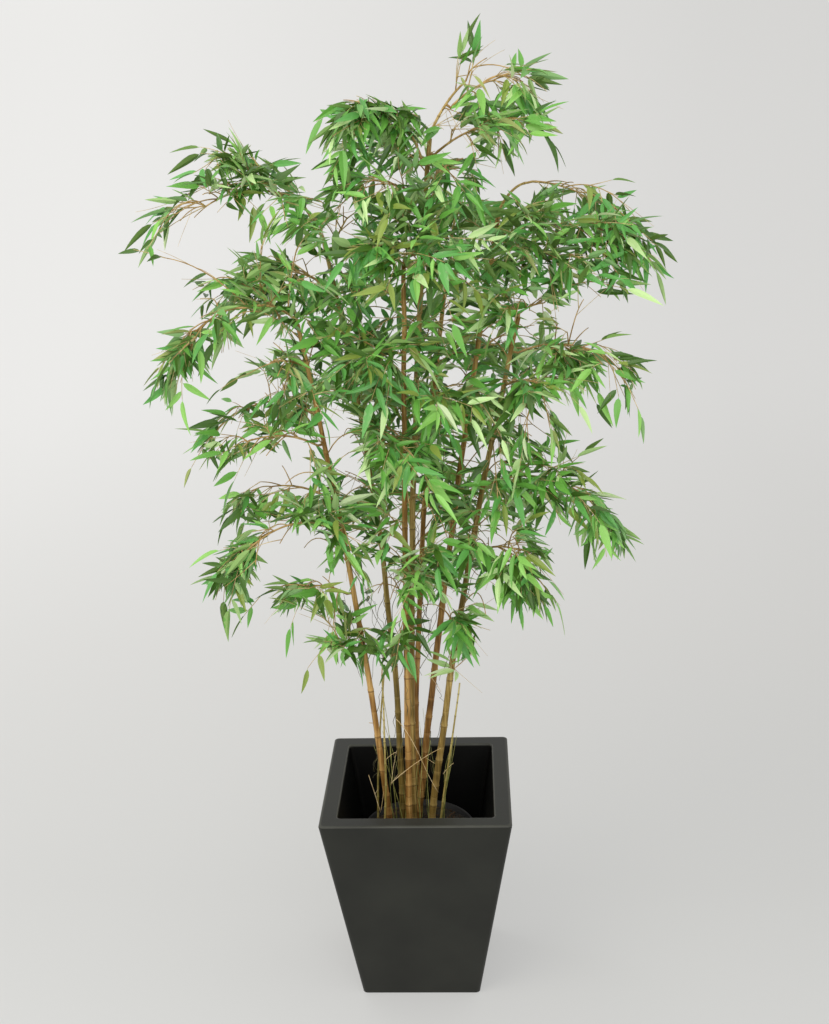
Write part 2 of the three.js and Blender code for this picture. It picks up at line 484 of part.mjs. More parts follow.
// Grows one mass: a stem along the spine that runs on into an end leaf, with a leaf to each side of it, and side twigs to the
// left and the right in turn, each with its own end leaf and two side leaves. A leaf that would leave the mass's space, or
// come near other wood or leaves, is tried again with another turn and a little shorter, and skipped after LEAF_TRIES.
function growMass(spine) {
  const end = spine.curve.getPoint(spine.stem);
  const ahead = spine.curve.getPoint(1).sub(end);
  const stem = branchSections(spine.root, spine.curve, spine.stem, STEM_STEPS, STEM_RADIUS, TWIG_TAPER * STEM_RADIUS);
  const stemRings = limbRings(stem, 3, spine.root.facing);
  const twigs = [{ on: spine.root.point, tip: end, direction: ahead.clone().normalize(), rings: stemRings }];
  const wood = linesAlong(spine.curve, spine.stem);
  for (let k = 0; k < spine.twigs; k++) {
    const vary = varied(spine.seed * 4096 + 4000 + k);
    const share = spine.stem * (0.2 + (0.72 * (k + 0.5)) / spine.twigs);
    const hand = k % 2 ? 1 : -1;
    const on = spine.curve.getPoint(share);
    const direction = swung(spine.curve.getTangent(share), hand * vary(52, 14), vary(-0.05, 0.6));
    const tip = along(on, direction, spine.spread * vary(0.62, 0.14));
    const middle = on.clone().lerp(tip, 0.5);
    if (!inSpace(spine, [middle, tip]) || !clearOfLimbs(pointsAlong([on, tip], LIMB_PITCH).slice(1))) continue;
    const sections = [{ centre: on, radius: TWIG_RADIUS }, { centre: tip, radius: TWIG_TAPER * TWIG_RADIUS }];
    twigs.push({ on, tip, direction, hand, rings: limbRings(sections, 3, direction) });
    wood.push(new THREE.Line3(on, tip));
  }

  const midribs = [];
  let spot = 0;
  // returns the rings of a leaf that fits, or nothing
  const leaf = (root, forward, turn, length) => {
    spot += 1;
    for (let attempt = 0; attempt < LEAF_TRIES; attempt++) {
      const vary = varied(spine.seed * 4096 + spot * 16 + attempt);
      const direction = swung(forward, turn + vary(0, 8 + 7 * attempt), vary(-0.25, 0.65));
      const size = length * vary(1, 0.1) * (1 - 0.05 * attempt);
      const rings = leafRings(root, direction, vary(...LEAF_ROLL) * Math.sign(vary(0, 1)), size);
      const [, widest, [tip]] = rings;
      const blade = [0.3, 0.5, 0.75, 1].map((share) => along(root, direction, share * size));
      const edges = [0.3, 0.65].flatMap((share) => widest.map((corner) => corner.clone().lerp(tip, share)));
      if (!inSpace(spine, [along(root, direction, 0.18 * size), tip, ...widest, ...edges])) continue;
      const inner = along(root, direction, 0.1 * size);
      if (!widest.every((corner) => clearOfLimbs(pointsAlong([inner, corner, tip], LIMB_PITCH)))) continue;
      if (blade.some((point) => distanceTo(wood, point) < WOOD_GAP)) continue;
      if (blade.some((point) => distanceTo(midribs, point) < LEAF_GAP)) continue;
      midribs.push(new THREE.Line3(blade[0], blade[3]));
      return rings;
    }
    return [];
  };

  const solids = [];
  for (const { on, tip, direction, hand, rings } of twigs) {
    const main = hand === undefined;
    const size = main ? Math.max(ahead.length(), 0.8 * spine.leaf) : spine.leaf;
    solids.push(skin([...rings, ...leaf(tip, direction, 0, size).slice(1)]));
    const roots = main ? [[1, -44], [1, 44]] : [[0.8, -46 * hand], [0.5, 48 * hand]];
    for (const [share, turn] of roots) {
      const root = share === 1 ? along(tip, spine.curve.getTangent(spine.stem), -LEAF_SINK) : on.clone().lerp(tip, share);
      const side = leaf(root, direction, turn, 0.94 * size);
      if (side.length) solids.push(skin(side));
    }
  }
  const joined = wasm.Manifold.union(solids.map(toManifold)).asOriginal().simplify(0.02);
  // the outer skin, without the small pockets that crossing leaf roots can close in
  return joined.decompose().sort((a, b) => b.volume() - a.volume())[0];
}

spines.forEach((spine, row) => {
  addSolid(spine.name, fromManifold(growMass(spine)), FINISH.leaf, LEAF_COLORS[row % LEAF_COLORS.length]);
});

export default group;
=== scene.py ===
"""An artificial bamboo in a tall tapered planter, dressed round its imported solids.

The origin is the centre of the planter's flat underside, +Z is up and the front faces -Y. Sizes are in
millimetres until a mesh is written, which is in metres. Canes, boughs and foliage grow by the rule of the
solids' own source, which is written again here and carried on to finer twigs and leaves of their real size.
"""

import logging
import math
from collections.abc import Callable, Sequence
from dataclasses import dataclass, field
from enum import Enum
from functools import partial

import bpy
import numpy as np
from mathutils import Matrix


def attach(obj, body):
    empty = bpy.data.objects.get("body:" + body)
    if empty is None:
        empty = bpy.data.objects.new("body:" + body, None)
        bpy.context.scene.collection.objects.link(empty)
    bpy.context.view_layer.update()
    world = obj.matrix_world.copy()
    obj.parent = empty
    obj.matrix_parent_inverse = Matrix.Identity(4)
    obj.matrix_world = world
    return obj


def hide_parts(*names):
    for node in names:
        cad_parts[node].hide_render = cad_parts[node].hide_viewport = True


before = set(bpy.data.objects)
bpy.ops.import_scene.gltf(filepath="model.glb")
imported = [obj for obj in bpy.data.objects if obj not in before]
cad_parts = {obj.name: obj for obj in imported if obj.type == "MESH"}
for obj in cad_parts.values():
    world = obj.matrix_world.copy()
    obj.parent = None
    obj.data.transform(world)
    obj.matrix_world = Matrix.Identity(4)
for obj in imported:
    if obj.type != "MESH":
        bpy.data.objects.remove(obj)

Array = np.ndarray
Places = tuple[tuple[float, float], ...]  # shares of a twig's length, each with its turn
Material, Node, Socket = bpy.types.Material, bpy.types.Node, bpy.types.NodeSocket
Adder = Callable[..., Node]
LOG = logging.getLogger("potted_bamboo")
MM = 0.001  # metres to a millimetre
BODY = "root"
UP = np.array([0.0, 0.0, 1.0])

# ---- driving sizes, as in the solids' source ----
FIT = 0.3
SOIL_TOP = 334.0
STEM_RADIUS = 3.4
SPINE_PIECES = 8
LEAD = 8.0
LEAF_SHARE = 1.3
LEAF_WIDTH = 0.3
LEAF_WIDEST = 0.36
LEAF_SINK = 4.0
STEM_LEAST = 0.42
LEAF_ROLL = (50.0, 28.0)
LEAF_TRIES = 12
WOOD_GAP = 9.0
LEAF_GAP = 15.0
LIMB_GAP = 1.5
LIMB_PITCH = 11.0
SPACE_GAP = 4.0
NODE_FIRST = 18.0
NODE_SPACING = 36.0
NODE_GROWTH = 1.32
NODE_WIDEST = 190.0
NODE_LAST = 30.0  # from the last node to a cane's head, at least
NODE_STEP = 6.0
NODE_SWELL = 1.1
BOUGH_STEPS = 5


# ---- small helpers ----
def unit(vectors: Array) -> Array:
    """Vectors of length one that point the same way, along the last axis."""
    return vectors / np.maximum(np.linalg.norm(vectors, axis=-1, keepdims=True), 1e-12)


def heading(degrees: float) -> Array:
    """The level direction at an angle round from +X towards +Y."""
    return np.array([math.cos(math.radians(degrees)), math.sin(math.radians(degrees)), 0.0])


def spun(vectors: Array, axes: Array, degrees: Array | float) -> Array:
    """Vectors turned about unit axes: v cos a + (k x v) sin a + k (k . v) (1 - cos a).

    Args:
        vectors: (..., 3) vectors.
        axes: (..., 3) unit axes.
        degrees: the angle of each, or one for all.

    Returns:
        The turned vectors, (..., 3).
    """
    angle = np.radians(np.asarray(degrees, float))[..., None]
    along = np.sum(vectors * axes, axis=-1, keepdims=True)
    swept = vectors * np.cos(angle) + np.cross(axes, vectors) * np.sin(angle)
    return swept + axes * along * (1 - np.cos(angle))


def swung(direction: Array, turn: Array | float, lift: Array | float) -> Array:
    """A direction swung aside by `turn` degrees about +Z, then tilted up by `lift`."""
    axes = np.broadcast_to(UP, direction.shape)
    return unit(spun(direction, axes, turn) + axes * np.asarray(lift, float)[..., None])


def lerp(start: float | Array, end: float | Array, share: float | Array) -> float | Array:
    """The value at a share of the way from `start` to `end`."""
    return start + (end - start) * share


def seeded(seed: int) -> Callable[[], float]:
    """A repeatable stream of numbers from 0 to 1, the same as in the solids' source: 32-bit multiplies,
    shifts and xors."""
    word = 0xFFFFFFFF
    state = (seed * 2654435761) & word

    def draw() -> float:
        """The next number of the stream."""
        nonlocal state
        state = (state + 0x6D2B79F5) & word
        mixed = ((state ^ (state >> 15)) * (state | 1)) & word
        mixed ^= (mixed + ((mixed ^ (mixed >> 7)) * (mixed | 61))) & word
        return ((mixed ^ (mixed >> 14)) & word) / 4294967296

    return draw


def varied(seed: int) -> Callable[[float, float], float]:
    """A repeatable choice of `middle` plus or minus `swing`."""
    draw = seeded(seed)

    def choose(middle: float, swing: float) -> float:
        """The next choice."""
        return middle + swing * (2 * draw() - 1)

    return choose


def distances(points: Array, starts: Array, ends: Array) -> Array:
    """How far each point is from each straight piece: the point less its nearest place on the piece, which is
    the start plus the share of the piece, held from 0 to 1, where the point projects.

    Args:
        points: (P, 3) points.
        starts: (S, 3) starts of the pieces.
        ends: (S, 3) ends of the pieces.

    Returns:
        (P, S) distances.
    """
    run = ends - starts
    gap = points[:, None] - starts[None]
    share = np.clip(np.sum(gap * run, -1) / np.maximum(np.sum(run * run, -1), 1e-12), 0, 1)
    return np.linalg.norm(gap - share[..., None] * run, axis=-1)


def points_along(corners: Array, pitch: float) -> Array:
    """Points along the straight lines through `corners`, no more than `pitch` apart, without the first
    corner.

    Args:
        corners: (N, 3) corners of the line.
        pitch: the widest step.

    Returns:
        (P, 3) points.
    """
    found = []
    for start, end in zip(corners[:-1], corners[1:]):
        count = max(math.ceil(np.linalg.norm(end - start) / pitch), 1)
        found.append(lerp(start, end, (np.arange(1, count + 1) / count)[:, None]))
    return np.concatenate(found)


# ---- surfaces ----
@dataclass
class Shell:
    """A closed surface as arrays, in millimetres.

    Attributes:
        points: (V, 3) vertices.
        quads: (Q, 4) faces of four corners.
        tris: (T, 3) faces of three corners.
        finish: material number of each face, quads first.
        marks: one number a vertex, for a material that follows the surface.
    """

    points: Array
    quads: Array
    tris: Array
    finish: Array | None = None
    marks: Array | None = None


def joined(shells: Sequence[Shell]) -> Shell:
    """One shell from several, each keeping its own vertices, finishes and marks.

    Args:
        shells: shells that all have finishes, or none, and marks, or none.

    Returns:
        The one shell.
    """
    starts = np.cumsum([0] + [len(s.points) for s in shells])[:-1]
    finish = None
    if shells[0].finish is not None:
        quads = [s.finish[: len(s.quads)] for s in shells]
        tris = [s.finish[len(s.quads) :] for s in shells]
        finish = np.concatenate(quads + tris)
    marks = None if shells[0].marks is None else np.concatenate([s.marks for s in shells])
    return Shell(
        np.concatenate([s.points for s in shells]),
        np.concatenate([s.quads + start for s, start in zip(shells, starts)]),
        np.concatenate([s.tris + start for s, start in zip(shells, starts)]),
        finish,
        marks,
    )


def ring_quads(rings: int, sides: int) -> Array:
    """Quads between each ring of points and the next, numbered ring after ring, faces out when the rings turn
    anticlockwise seen from the last ring.

    Args:
        rings: how many rings.
        sides: points of a ring.

    Returns:
        (Q, 4) corner numbers.
    """
    ring, side = np.meshgrid(np.arange(rings - 1), np.arange(sides), indexing="ij")
    low, low_next = ring * sides + side, ring * sides + (side + 1) % sides
    return np.stack([low, low_next, low_next + sides, low + sides], -1).reshape(-1, 4)


def tubes(paths: Array, radii: Array, sides: int, marks: Array | None = None) -> Shell:
    """Closed round tubes along many paths at once. A point is centre + radius (cos a side + sin a up), and
    side and up are carried from station to station, kept square to the path. Each end is closed by a fan to
    its centre.

    Args:
        paths: (N, S, 3) centre lines, all of S stations.
        radii: radius at each station, (N, S) or (S,) for all.
        sides: points round a tube.
        marks: (N, S) number kept at each station, or nothing.

    Returns:
        One shell that holds every tube.
    """
    many, stations, _ = paths.shape
    radii = np.broadcast_to(radii, (many, stations))
    ahead = unit(np.gradient(paths, axis=1))
    spare = np.where(np.abs(ahead[:, :1, 2:]) < 0.9, UP, np.array([1.0, 0.0, 0.0]))[:, 0]
    side = unit(np.cross(spare, ahead[:, 0]))
    frames = []
    for station in range(stations):
        side = unit(side - ahead[:, station] * np.sum(side * ahead[:, station], -1, keepdims=True))
        frames.append(side)
    across = np.stack(frames, 1)
    up = np.cross(ahead, across)
    angle = 2 * np.pi * np.arange(sides) / sides
    round_about = across[:, :, None] * np.cos(angle)[:, None] + up[:, :, None] * np.sin(angle)[:, None]
    rings = paths[:, :, None] + radii[:, :, None, None] * round_about
    points = np.concatenate([rings.reshape(many, -1, 3), paths[:, :1], paths[:, -1:]], axis=1)
    each = stations * sides + 2
    turn = (np.arange(sides) + 1) % sides
    foot = np.stack([np.full(sides, each - 2), turn, np.arange(sides)], -1)
    last = (stations - 1) * sides
    head = np.stack([np.full(sides, each - 1), last + np.arange(sides), last + turn], -1)
    start = (np.arange(many) * each)[:, None, None]
    kept = None
    if marks is not None:
        kept = np.concatenate([np.repeat(marks, sides, axis=1), marks[:, :1], marks[:, -1:]], axis=1).ravel()
    return Shell(
        points.reshape(-1, 3),
        (ring_quads(stations, sides)[None] + start).reshape(-1, 4),
        (np.concatenate([foot, head])[None] + start).reshape(-1, 3),
        marks=kept,
    )


def lofted(rings: Array) -> Shell:
    """A closed surface through rings of points, (R, K, 3), anticlockwise from above where they rise. Its
    first and last rings are each closed by a fan to their middle.

    Args:
        rings: (R, K, 3) rings of points.

    Returns:
        The surface.
    """
    count, sides, _ = rings.shape
    points = np.concatenate([rings.reshape(-1, 3), rings[:1].mean(1), rings[-1:].mean(1)])
    turn = (np.arange(sides) + 1) % sides
    last = (count - 1) * sides
    foot = np.stack([np.full(sides, count * sides), turn, np.arange(sides)], -1)
    head = np.stack([np.full(sides, count * sides + 1), last + np.arange(sides), last + turn], -1)
    return Shell(points, ring_quads(count, sides), np.concatenate([foot, head]))


def turned(profile: Array, sides: int) -> Shell:
    """A surface of revolution about +Z through a profile of [radius, height], closed at both ends by a
    fan.

    Args:
        profile: (N, 2) radii and heights.
        sides: points of a ring.

    Returns:
        The surface.
    """
    angle = 2 * np.pi * np.arange(sides) / sides
    x = profile[:, :1] * np.cos(angle)
    y = profile[:, :1] * np.sin(angle)
    return lofted(np.stack([x, y, np.broadcast_to(profile[:, 1:], x.shape)], -1))


def added(name: str, data: bpy.types.ID) -> bpy.types.Object:
    """A new object of the scene that shows some data."""
    made = bpy.data.objects.new(name, data)
    bpy.context.scene.collection.objects.link(made)
    return made


def piece(
    name: str,
    shell: Shell,
    materials: Sequence[Material],
    replaces: Sequence[str] = (),
    sharp_lengthwise: int = 0,
) -> bpy.types.Object:
    """Writes a shell as one smooth-shaded object of the plant and ties it to the frame.

    Args:
        name: the piece's name.
        shell: its surface, in millimetres.
        materials: its materials, numbered as the shell's faces are.
        replaces: the solids that it stands for.
        sharp_lengthwise: where it isn't 0, how many vertices each repeat of the shape has; its edges from
            ring to ring of four are then kept sharp.

    Returns:
        The object.
    """
    mesh = bpy.data.meshes.new(name)
    corners = np.concatenate([shell.quads.ravel(), shell.tris.ravel()]).astype(np.int32)
    sizes = np.concatenate([np.full(len(shell.quads), 4), np.full(len(shell.tris), 3)]).astype(np.int32)
    mesh.vertices.add(len(shell.points))
    mesh.vertices.foreach_set("co", (shell.points * MM).astype(np.float32).ravel())
    mesh.loops.add(len(corners))
    mesh.loops.foreach_set("vertex_index", corners)
    mesh.polygons.add(len(sizes))
    mesh.polygons.foreach_set("loop_start", (np.cumsum(sizes) - sizes).astype(np.int32))
    mesh.update(calc_edges=True)
    for material in materials:
        mesh.materials.append(material)
    if shell.finish is not None:
        mesh.polygons.foreach_set("material_index", shell.finish.astype(np.int32))
    if shell.marks is not None:
        marks = mesh.attributes.new("marks", "FLOAT", "POINT")
        marks.data.foreach_set("value", shell.marks.astype(np.float32))
    mesh.polygons.foreach_set("use_smooth", np.ones(len(sizes), bool))
    if sharp_lengthwise:
        edges = np.zeros(2 * len(mesh.edges), np.int32)
        mesh.edges.foreach_get("vertices", edges)
        place = edges.reshape(-1, 2) % sharp_lengthwise
        mesh.edges.foreach_set("use_edge_sharp", place[:, 0] // 4 != place[:, 1] // 4)
    mesh.validate()
    made = added(name, mesh)
    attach(made, BODY)
    if replaces:
        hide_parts(*replaces)
    LOG.info("%s: %d faces", name, len(sizes))
    return made


# ---- finishes ----
def linear(shade: str) -> tuple[float, float, float, float]:
    """A colour for a shader socket.

    Args:
        shade: an sRGB hex shade such as "#4a8a4c".

    Returns:
        Its linear red, green and blue, and an alpha of 1.
    """
    parts = (int(shade[start : start + 2], 16) / 255 for start in (1, 3, 5))
    red, green, blue = (c / 12.92 if c <= 0.04045 else ((c + 0.055) / 1.055) ** 2.4 for c in parts)
    return red, green, blue, 1.0


def add_node(
    tree: bpy.types.NodeTree,
    kind: str,
    settings: dict[str | int, object] | None = None,
    links: dict[str | int, Node | Socket] | None = None,
) -> Node:
    """Adds a shader node.

    Args:
        tree: the material's node tree.
        kind: the node's type, without "ShaderNode".
        settings: values by property name, or by input where the node has no such property.
        links: what goes to each input, a socket or a node for its first output.

    Returns:
        The node.
    """
    node = tree.nodes.new("ShaderNode" + kind)
    for key, value in (settings or {}).items():
        if isinstance(key, str) and hasattr(node, key):
            setattr(node, key, value)
        else:
            node.inputs[key].default_value = value
    for key, source in (links or {}).items():
        tree.links.new(source.outputs[0] if isinstance(source, Node) else source, node.inputs[key])
    return node


def blank_material(name: str) -> tuple[Material, Adder]:
    """A new material with no nodes.

    Args:
        name: the material's name.

    Returns:
        The material, and `add_node` for its tree.
    """
    material = bpy.data.materials.new(name)
    material.use_nodes = True
    material.node_tree.nodes.clear()
    return material, partial(add_node, material.node_tree)


def surface(node: Adder, settings: dict[str, object], links: dict[str, Node | Socket] | None = None) -> None:
    """Puts a principled shader, with its own settings and links, on a material's output."""
    shader = node("BsdfPrincipled", settings, links)
    node("OutputMaterial", links={"Surface": shader})


def ramp(node: Adder, factor: Node, stops: Sequence[tuple[float, str]]) -> Node:
    """A colour ramp.

    Args:
        node: `add_node` for the material's tree.
        factor: the node that drives it.
        stops: each stop's position and sRGB hex shade.

    Returns:
        The node.
    """
    made = node("ValToRGB", links={"Fac": factor})
    elements = made.color_ramp.elements
    while len(elements) < len(stops):
        elements.new(0.5)
    for element, (position, shade) in zip(elements, stops):
        element.position = position
        element.color = linear(shade)
    return made


@dataclass(frozen=True)
class LeafCloth:
    """Printed polyester leaf cloth: a plain tint with a soft sheen, paler and duller underneath."""

    name: str
    face: str
    underside: str
    share: float
    roughness: float = 0.4
    dull: float = 0.62
    specular: float = 0.5

    def materials(self) -> list[Material]:
        """The upper side's material and the underside's."""
        made = []
        sides = (("face", self.face, self.roughness), ("underside", self.underside, self.dull))
        for side, shade, rough in sides:
            material, node = blank_material(f"polyester_leaf_cloth_{self.name}_{side}")
            plain = {"Base Color": linear(shade), "Roughness": rough, "Specular IOR Level": self.specular}
            surface(node, plain)
            made.append(material)
        return made


class LeafTint(Enum):
    """The tints of the leaf cloth, dealt out at random, from darkest to palest. The darkest is partly painted
    shade and the palest partly painted light, for leaves in shade and leaves lit through.
    """

    # partly a print tint, partly painted shade for leaves in shade
    DEEP_PAINTED_SHADE = LeafCloth("deep_painted_shade", "#42691c", "#5e7e34", 0.24)
    MID = LeafCloth("mid", "#6aaa45", "#8cb262", 0.26)
    BLUE = LeafCloth("blue_green", "#60a64e", "#84b06e", 0.2)
    FRESH = LeafCloth("fresh", "#90ca62", "#a8ca82", 0.17)
    # partly a print tint, partly painted light for leaves lit through from behind
    LIME_PAINTED_LIGHT = LeafCloth("lime_painted_light", "#c2e29a", "#cce0ac", 0.06)
    OLIVE = LeafCloth("olive", "#8aa046", "#a6b26a", 0.07)


@dataclass(frozen=True)
class LacqueredCane:
    """Natural bamboo cane, steamed straight and lacquered: ochre with long brown and green streaks, a dark
    scar and a pale bloom at each node, and a satin skin."""

    name: str
    dark: str
    middle: str
    light: str
    scar: str = "#4a3218"
    streak_width: float = 5.0  # of a streak round the cane
    streak_length: float = 170.0
    blotch: float = 120.0

    def material(self) -> Material:
        """The cane's material. The marks on its mesh are the height over the nearest node, in millimetres."""
        material, node = blank_material(f"lacquered_cane_{self.name}")
        place = {"Vector": node("TexCoord").outputs["Object"]}
        across, along = 1 / (self.streak_width * MM), 1 / (self.streak_length * MM)
        streaks = node("Mapping", {"Scale": (across, across, along)}, place)
        fibre = node("TexNoise", {"Scale": 1.0, "Detail": 4.0}, {"Vector": streaks})
        patch = node("TexNoise", {"Scale": 1 / (self.blotch * MM), "Detail": 2.0}, place)
        both = node("Math", {"operation": "ADD"}, {0: fibre, 1: patch})
        # painted light: the skin turns paler and yellower upwards, for the upper canes that stand less shaded
        high = node("SeparateXYZ", links=place).outputs["Z"]
        upwards = {"From Min": 0.4, "From Max": 1.5, "To Min": -0.05, "To Max": 0.08}
        painted_light_up = node("MapRange", upwards, {"Value": high})
        tone = node("Math", {"operation": "MULTIPLY_ADD", 1: 0.5}, {0: both, 2: painted_light_up})
        skin = ramp(node, tone, [(0.36, self.dark), (0.5, self.middle), (0.62, self.light)])
        marks = node("Attribute", {"attribute_name": "marks"}).outputs["Fac"]
        smooth = {"interpolation_type": "SMOOTHSTEP"}
        fading = smooth | {"From Min": 3.0, "From Max": 26.0, "To Min": 0.24, "To Max": 0.0}
        bloom = node("MapRange", fading, {"Value": marks})
        above = node("Math", {"operation": "GREATER_THAN", 1: 1.5}, {0: marks})
        bloomed = node("Math", {"operation": "MULTIPLY"}, {0: bloom, 1: above})
        paler = node("Mix", {"data_type": "RGBA", 7: linear(self.light)}, {0: bloomed, 6: skin})
        from_scar = node("Math", {"operation": "ABSOLUTE"}, {0: marks})
        narrow = smooth | {"From Min": 0.3, "From Max": 2.6, "To Min": 1.0, "To Max": 0.0}
        ring = node("MapRange", narrow, {"Value": from_scar})
        wear = {"From Min": 0.4, "From Max": 0.62, "To Min": 0.1, "To Max": 0.62}
        worn = node("MapRange", wear, {"Value": patch})
        brown = node("Math", {"operation": "MULTIPLY"}, {0: ring, 1: worn})
        scar = {"data_type": "RGBA", 7: linear(self.scar)}
        scarred = node("Mix", scar, {0: brown, 6: paler.outputs[2]})
        rough = node("MapRange", {"To Min": 0.42, "To Max": 0.66}, {"Value": fibre})
        bump = node("Bump", {"Strength": 0.25, "Distance": 0.0004}, {"Height": fibre})
        driven = {"Base Color": scarred.outputs[2], "Roughness": rough, "Normal": bump}
        surface(node, {"Specular IOR Level": 0.28}, driven)
        return material


@dataclass(frozen=True)
class WrappedTwig:
    """Wire twig wrapped in moulded plastic: straw to brown with greenish runs, dull."""

    name: str
    dark: str
    light: str
    run: float = 22.0  # length of one colour along a twig

    def material(self) -> Material:
        """The twig's material."""
        material, node = blank_material(f"moulded_twig_{self.name}")
        place = {"Vector": node("TexCoord").outputs["Object"]}
        runs = node("TexNoise", {"Scale": 1 / (self.run * MM), "Detail": 3.0}, place)
        skin = ramp(node, runs, [(0.38, self.dark), (0.62, self.light)])
        bump = node("Bump", {"Strength": 0.3, "Distance": 0.0004}, {"Height": runs})
        surface(node, {"Roughness": 0.6}, {"Base Color": skin, "Normal": bump})
        return material


@dataclass(frozen=True)
class Fibreclay:
    """Cast fibreclay sealed with a matt dark grey coat: a fine sandy grain that breaks up the light, and
    faint cloudy wear. A highlight is painted on the rim's rounded edges."""

    name: str = "matt"
    dark: str = "#1b1c17"
    light: str = "#272822"
    painted_edge_highlight: str = "#8a8a80"  # painted highlight on the rim's rounded edges
    specular: float = 0.3
    grain: float = 1.1  # sand grain, drawn coarser than the real 0.3 so that it shows
    cloud: float = 140.0

    def material(self) -> Material:
        """The planter's material. The marks on its mesh say how strongly a highlight is painted on the rim's
        edges, from 0 to 1.
        """
        material, node = blank_material(f"cast_fibreclay_{self.name}")
        place = {"Vector": node("TexCoord").outputs["Object"]}
        cloud = node("TexNoise", {"Scale": 1 / (self.cloud * MM), "Detail": 3.0}, place)
        grain = node("TexNoise", {"Scale": 1 / (self.grain * MM), "Detail": 2.0}, place)
        mixed = node("Math", {"operation": "MULTIPLY_ADD", 1: 0.35}, {0: grain, 2: cloud})
        skin = ramp(node, mixed, [(0.45, self.dark), (0.9, self.light)])
        marks = node("Attribute", {"attribute_name": "marks"}).outputs["Fac"]
        # painted highlight: the marked rim edges turn lighter, broken up by the grain
        painted_edge_highlight = node("Math", {"operation": "MULTIPLY"}, {0: marks, 1: mixed})
        edged = node("Mix", {"data_type": "RGBA", 7: linear(self.painted_edge_highlight)}, {0: painted_edge_highlight, 6: skin})
        rough = node("MapRange", {"To Min": 0.36, "To Max": 0.52}, {"Value": cloud})
        bump = node("Bump", {"Strength": 0.22, "Distance": 0.0004}, {"Height": grain})
        driven = {"Base Color": edged.outputs[2], "Roughness": rough, "Normal": bump}
        surface(node, {"Specular IOR Level": self.specular}, driven)
        return material


@dataclass(frozen=True)
class MouldedPolypropylene:
    """Blow-moulded black polypropylene of a growing pot: a faint sheen, scuffed and dusty in patches."""

    shade: str = "#0a0a09"
    dust: str = "#171613"
    scuff: float = 9.0

    def material(self) -> Material:
        """The growing pot's material."""
        material, node = blank_material("moulded_polypropylene_black")
        place = {"Vector": node("TexCoord").outputs["Object"]}
        scuffs = node("TexNoise", {"Scale": 1 / (self.scuff * MM), "Detail": 5.0}, place)
        skin = ramp(node, scuffs, [(0.5, self.shade), (0.75, self.dust)])
        rough = node("MapRange", {"To Min": 0.32, "To Max": 0.62}, {"Value": scuffs})
        bump = node("Bump", {"Strength": 0.15, "Distance": 0.0005}, {"Height": scuffs})
        surface(node, {}, {"Base Color": skin, "Roughness": rough, "Normal": bump})
        return material


@dataclass(frozen=True)
class PeatFilling:
    """Dark peat and bark crumbs pressed over a set base: matt, nearly black in the hollows, brown on the
    crumbs."""

    name: str
    dark: str
    light: str
    crumb: float = 5.0

    def material(self) -> Material:
        """The filling's material."""
        material, node = blank_material(f"pressed_peat_{self.name}")
        place = {"Vector": node("TexCoord").outputs["Object"]}
        crumbs = node("TexVoronoi", {"Scale": 1 / (self.crumb * MM)}, place)
        dirt = node("TexNoise", {"Scale": 1 / (3 * self.crumb * MM), "Detail": 5.0}, place)
        skin = ramp(node, dirt, [(0.35, self.dark), (0.68, self.light)])
        bump = node("Bump", {"Strength": 0.7, "Distance": 0.0015}, {"Height": crumbs})
        surface(node, {"Roughness": 0.95}, {"Base Color": skin, "Normal": bump})
        return material


# ---- planter, growing pot and filling ----
def square_ring(side: float, corner: float, height: float, steps: int = 6, margin: float = 2.0) -> Array:
    """A level square ring with round corners. A corner's arc has steps + 1 points, and one more point stands
    `margin` along each straight side next to it, so that the sides stay flat in smooth shading.

    Args:
        side: width across the flats.
        corner: radius of the corners.
        height: its height.
        steps: pieces in a corner's arc.
        margin: distance of the extra points from the arc's ends.

    Returns:
        (K, 3) points, anticlockwise from above.
    """
    quarter = np.radians(90 * np.arange(steps + 1) / steps)
    arc = np.stack([corner * np.cos(quarter), corner * np.sin(quarter)], -1)
    arc = np.concatenate([arc[:1] - [0, margin], arc, arc[-1:] - [margin, 0]])
    arc = arc + (side / 2 - corner)
    turns = [arc]
    for _ in range(3):
        last = turns[-1]
        turns.append(np.stack([-last[:, 1], last[:, 0]], -1))
    flat = np.concatenate(turns)
    return np.column_stack([flat, np.full(len(flat), height)])


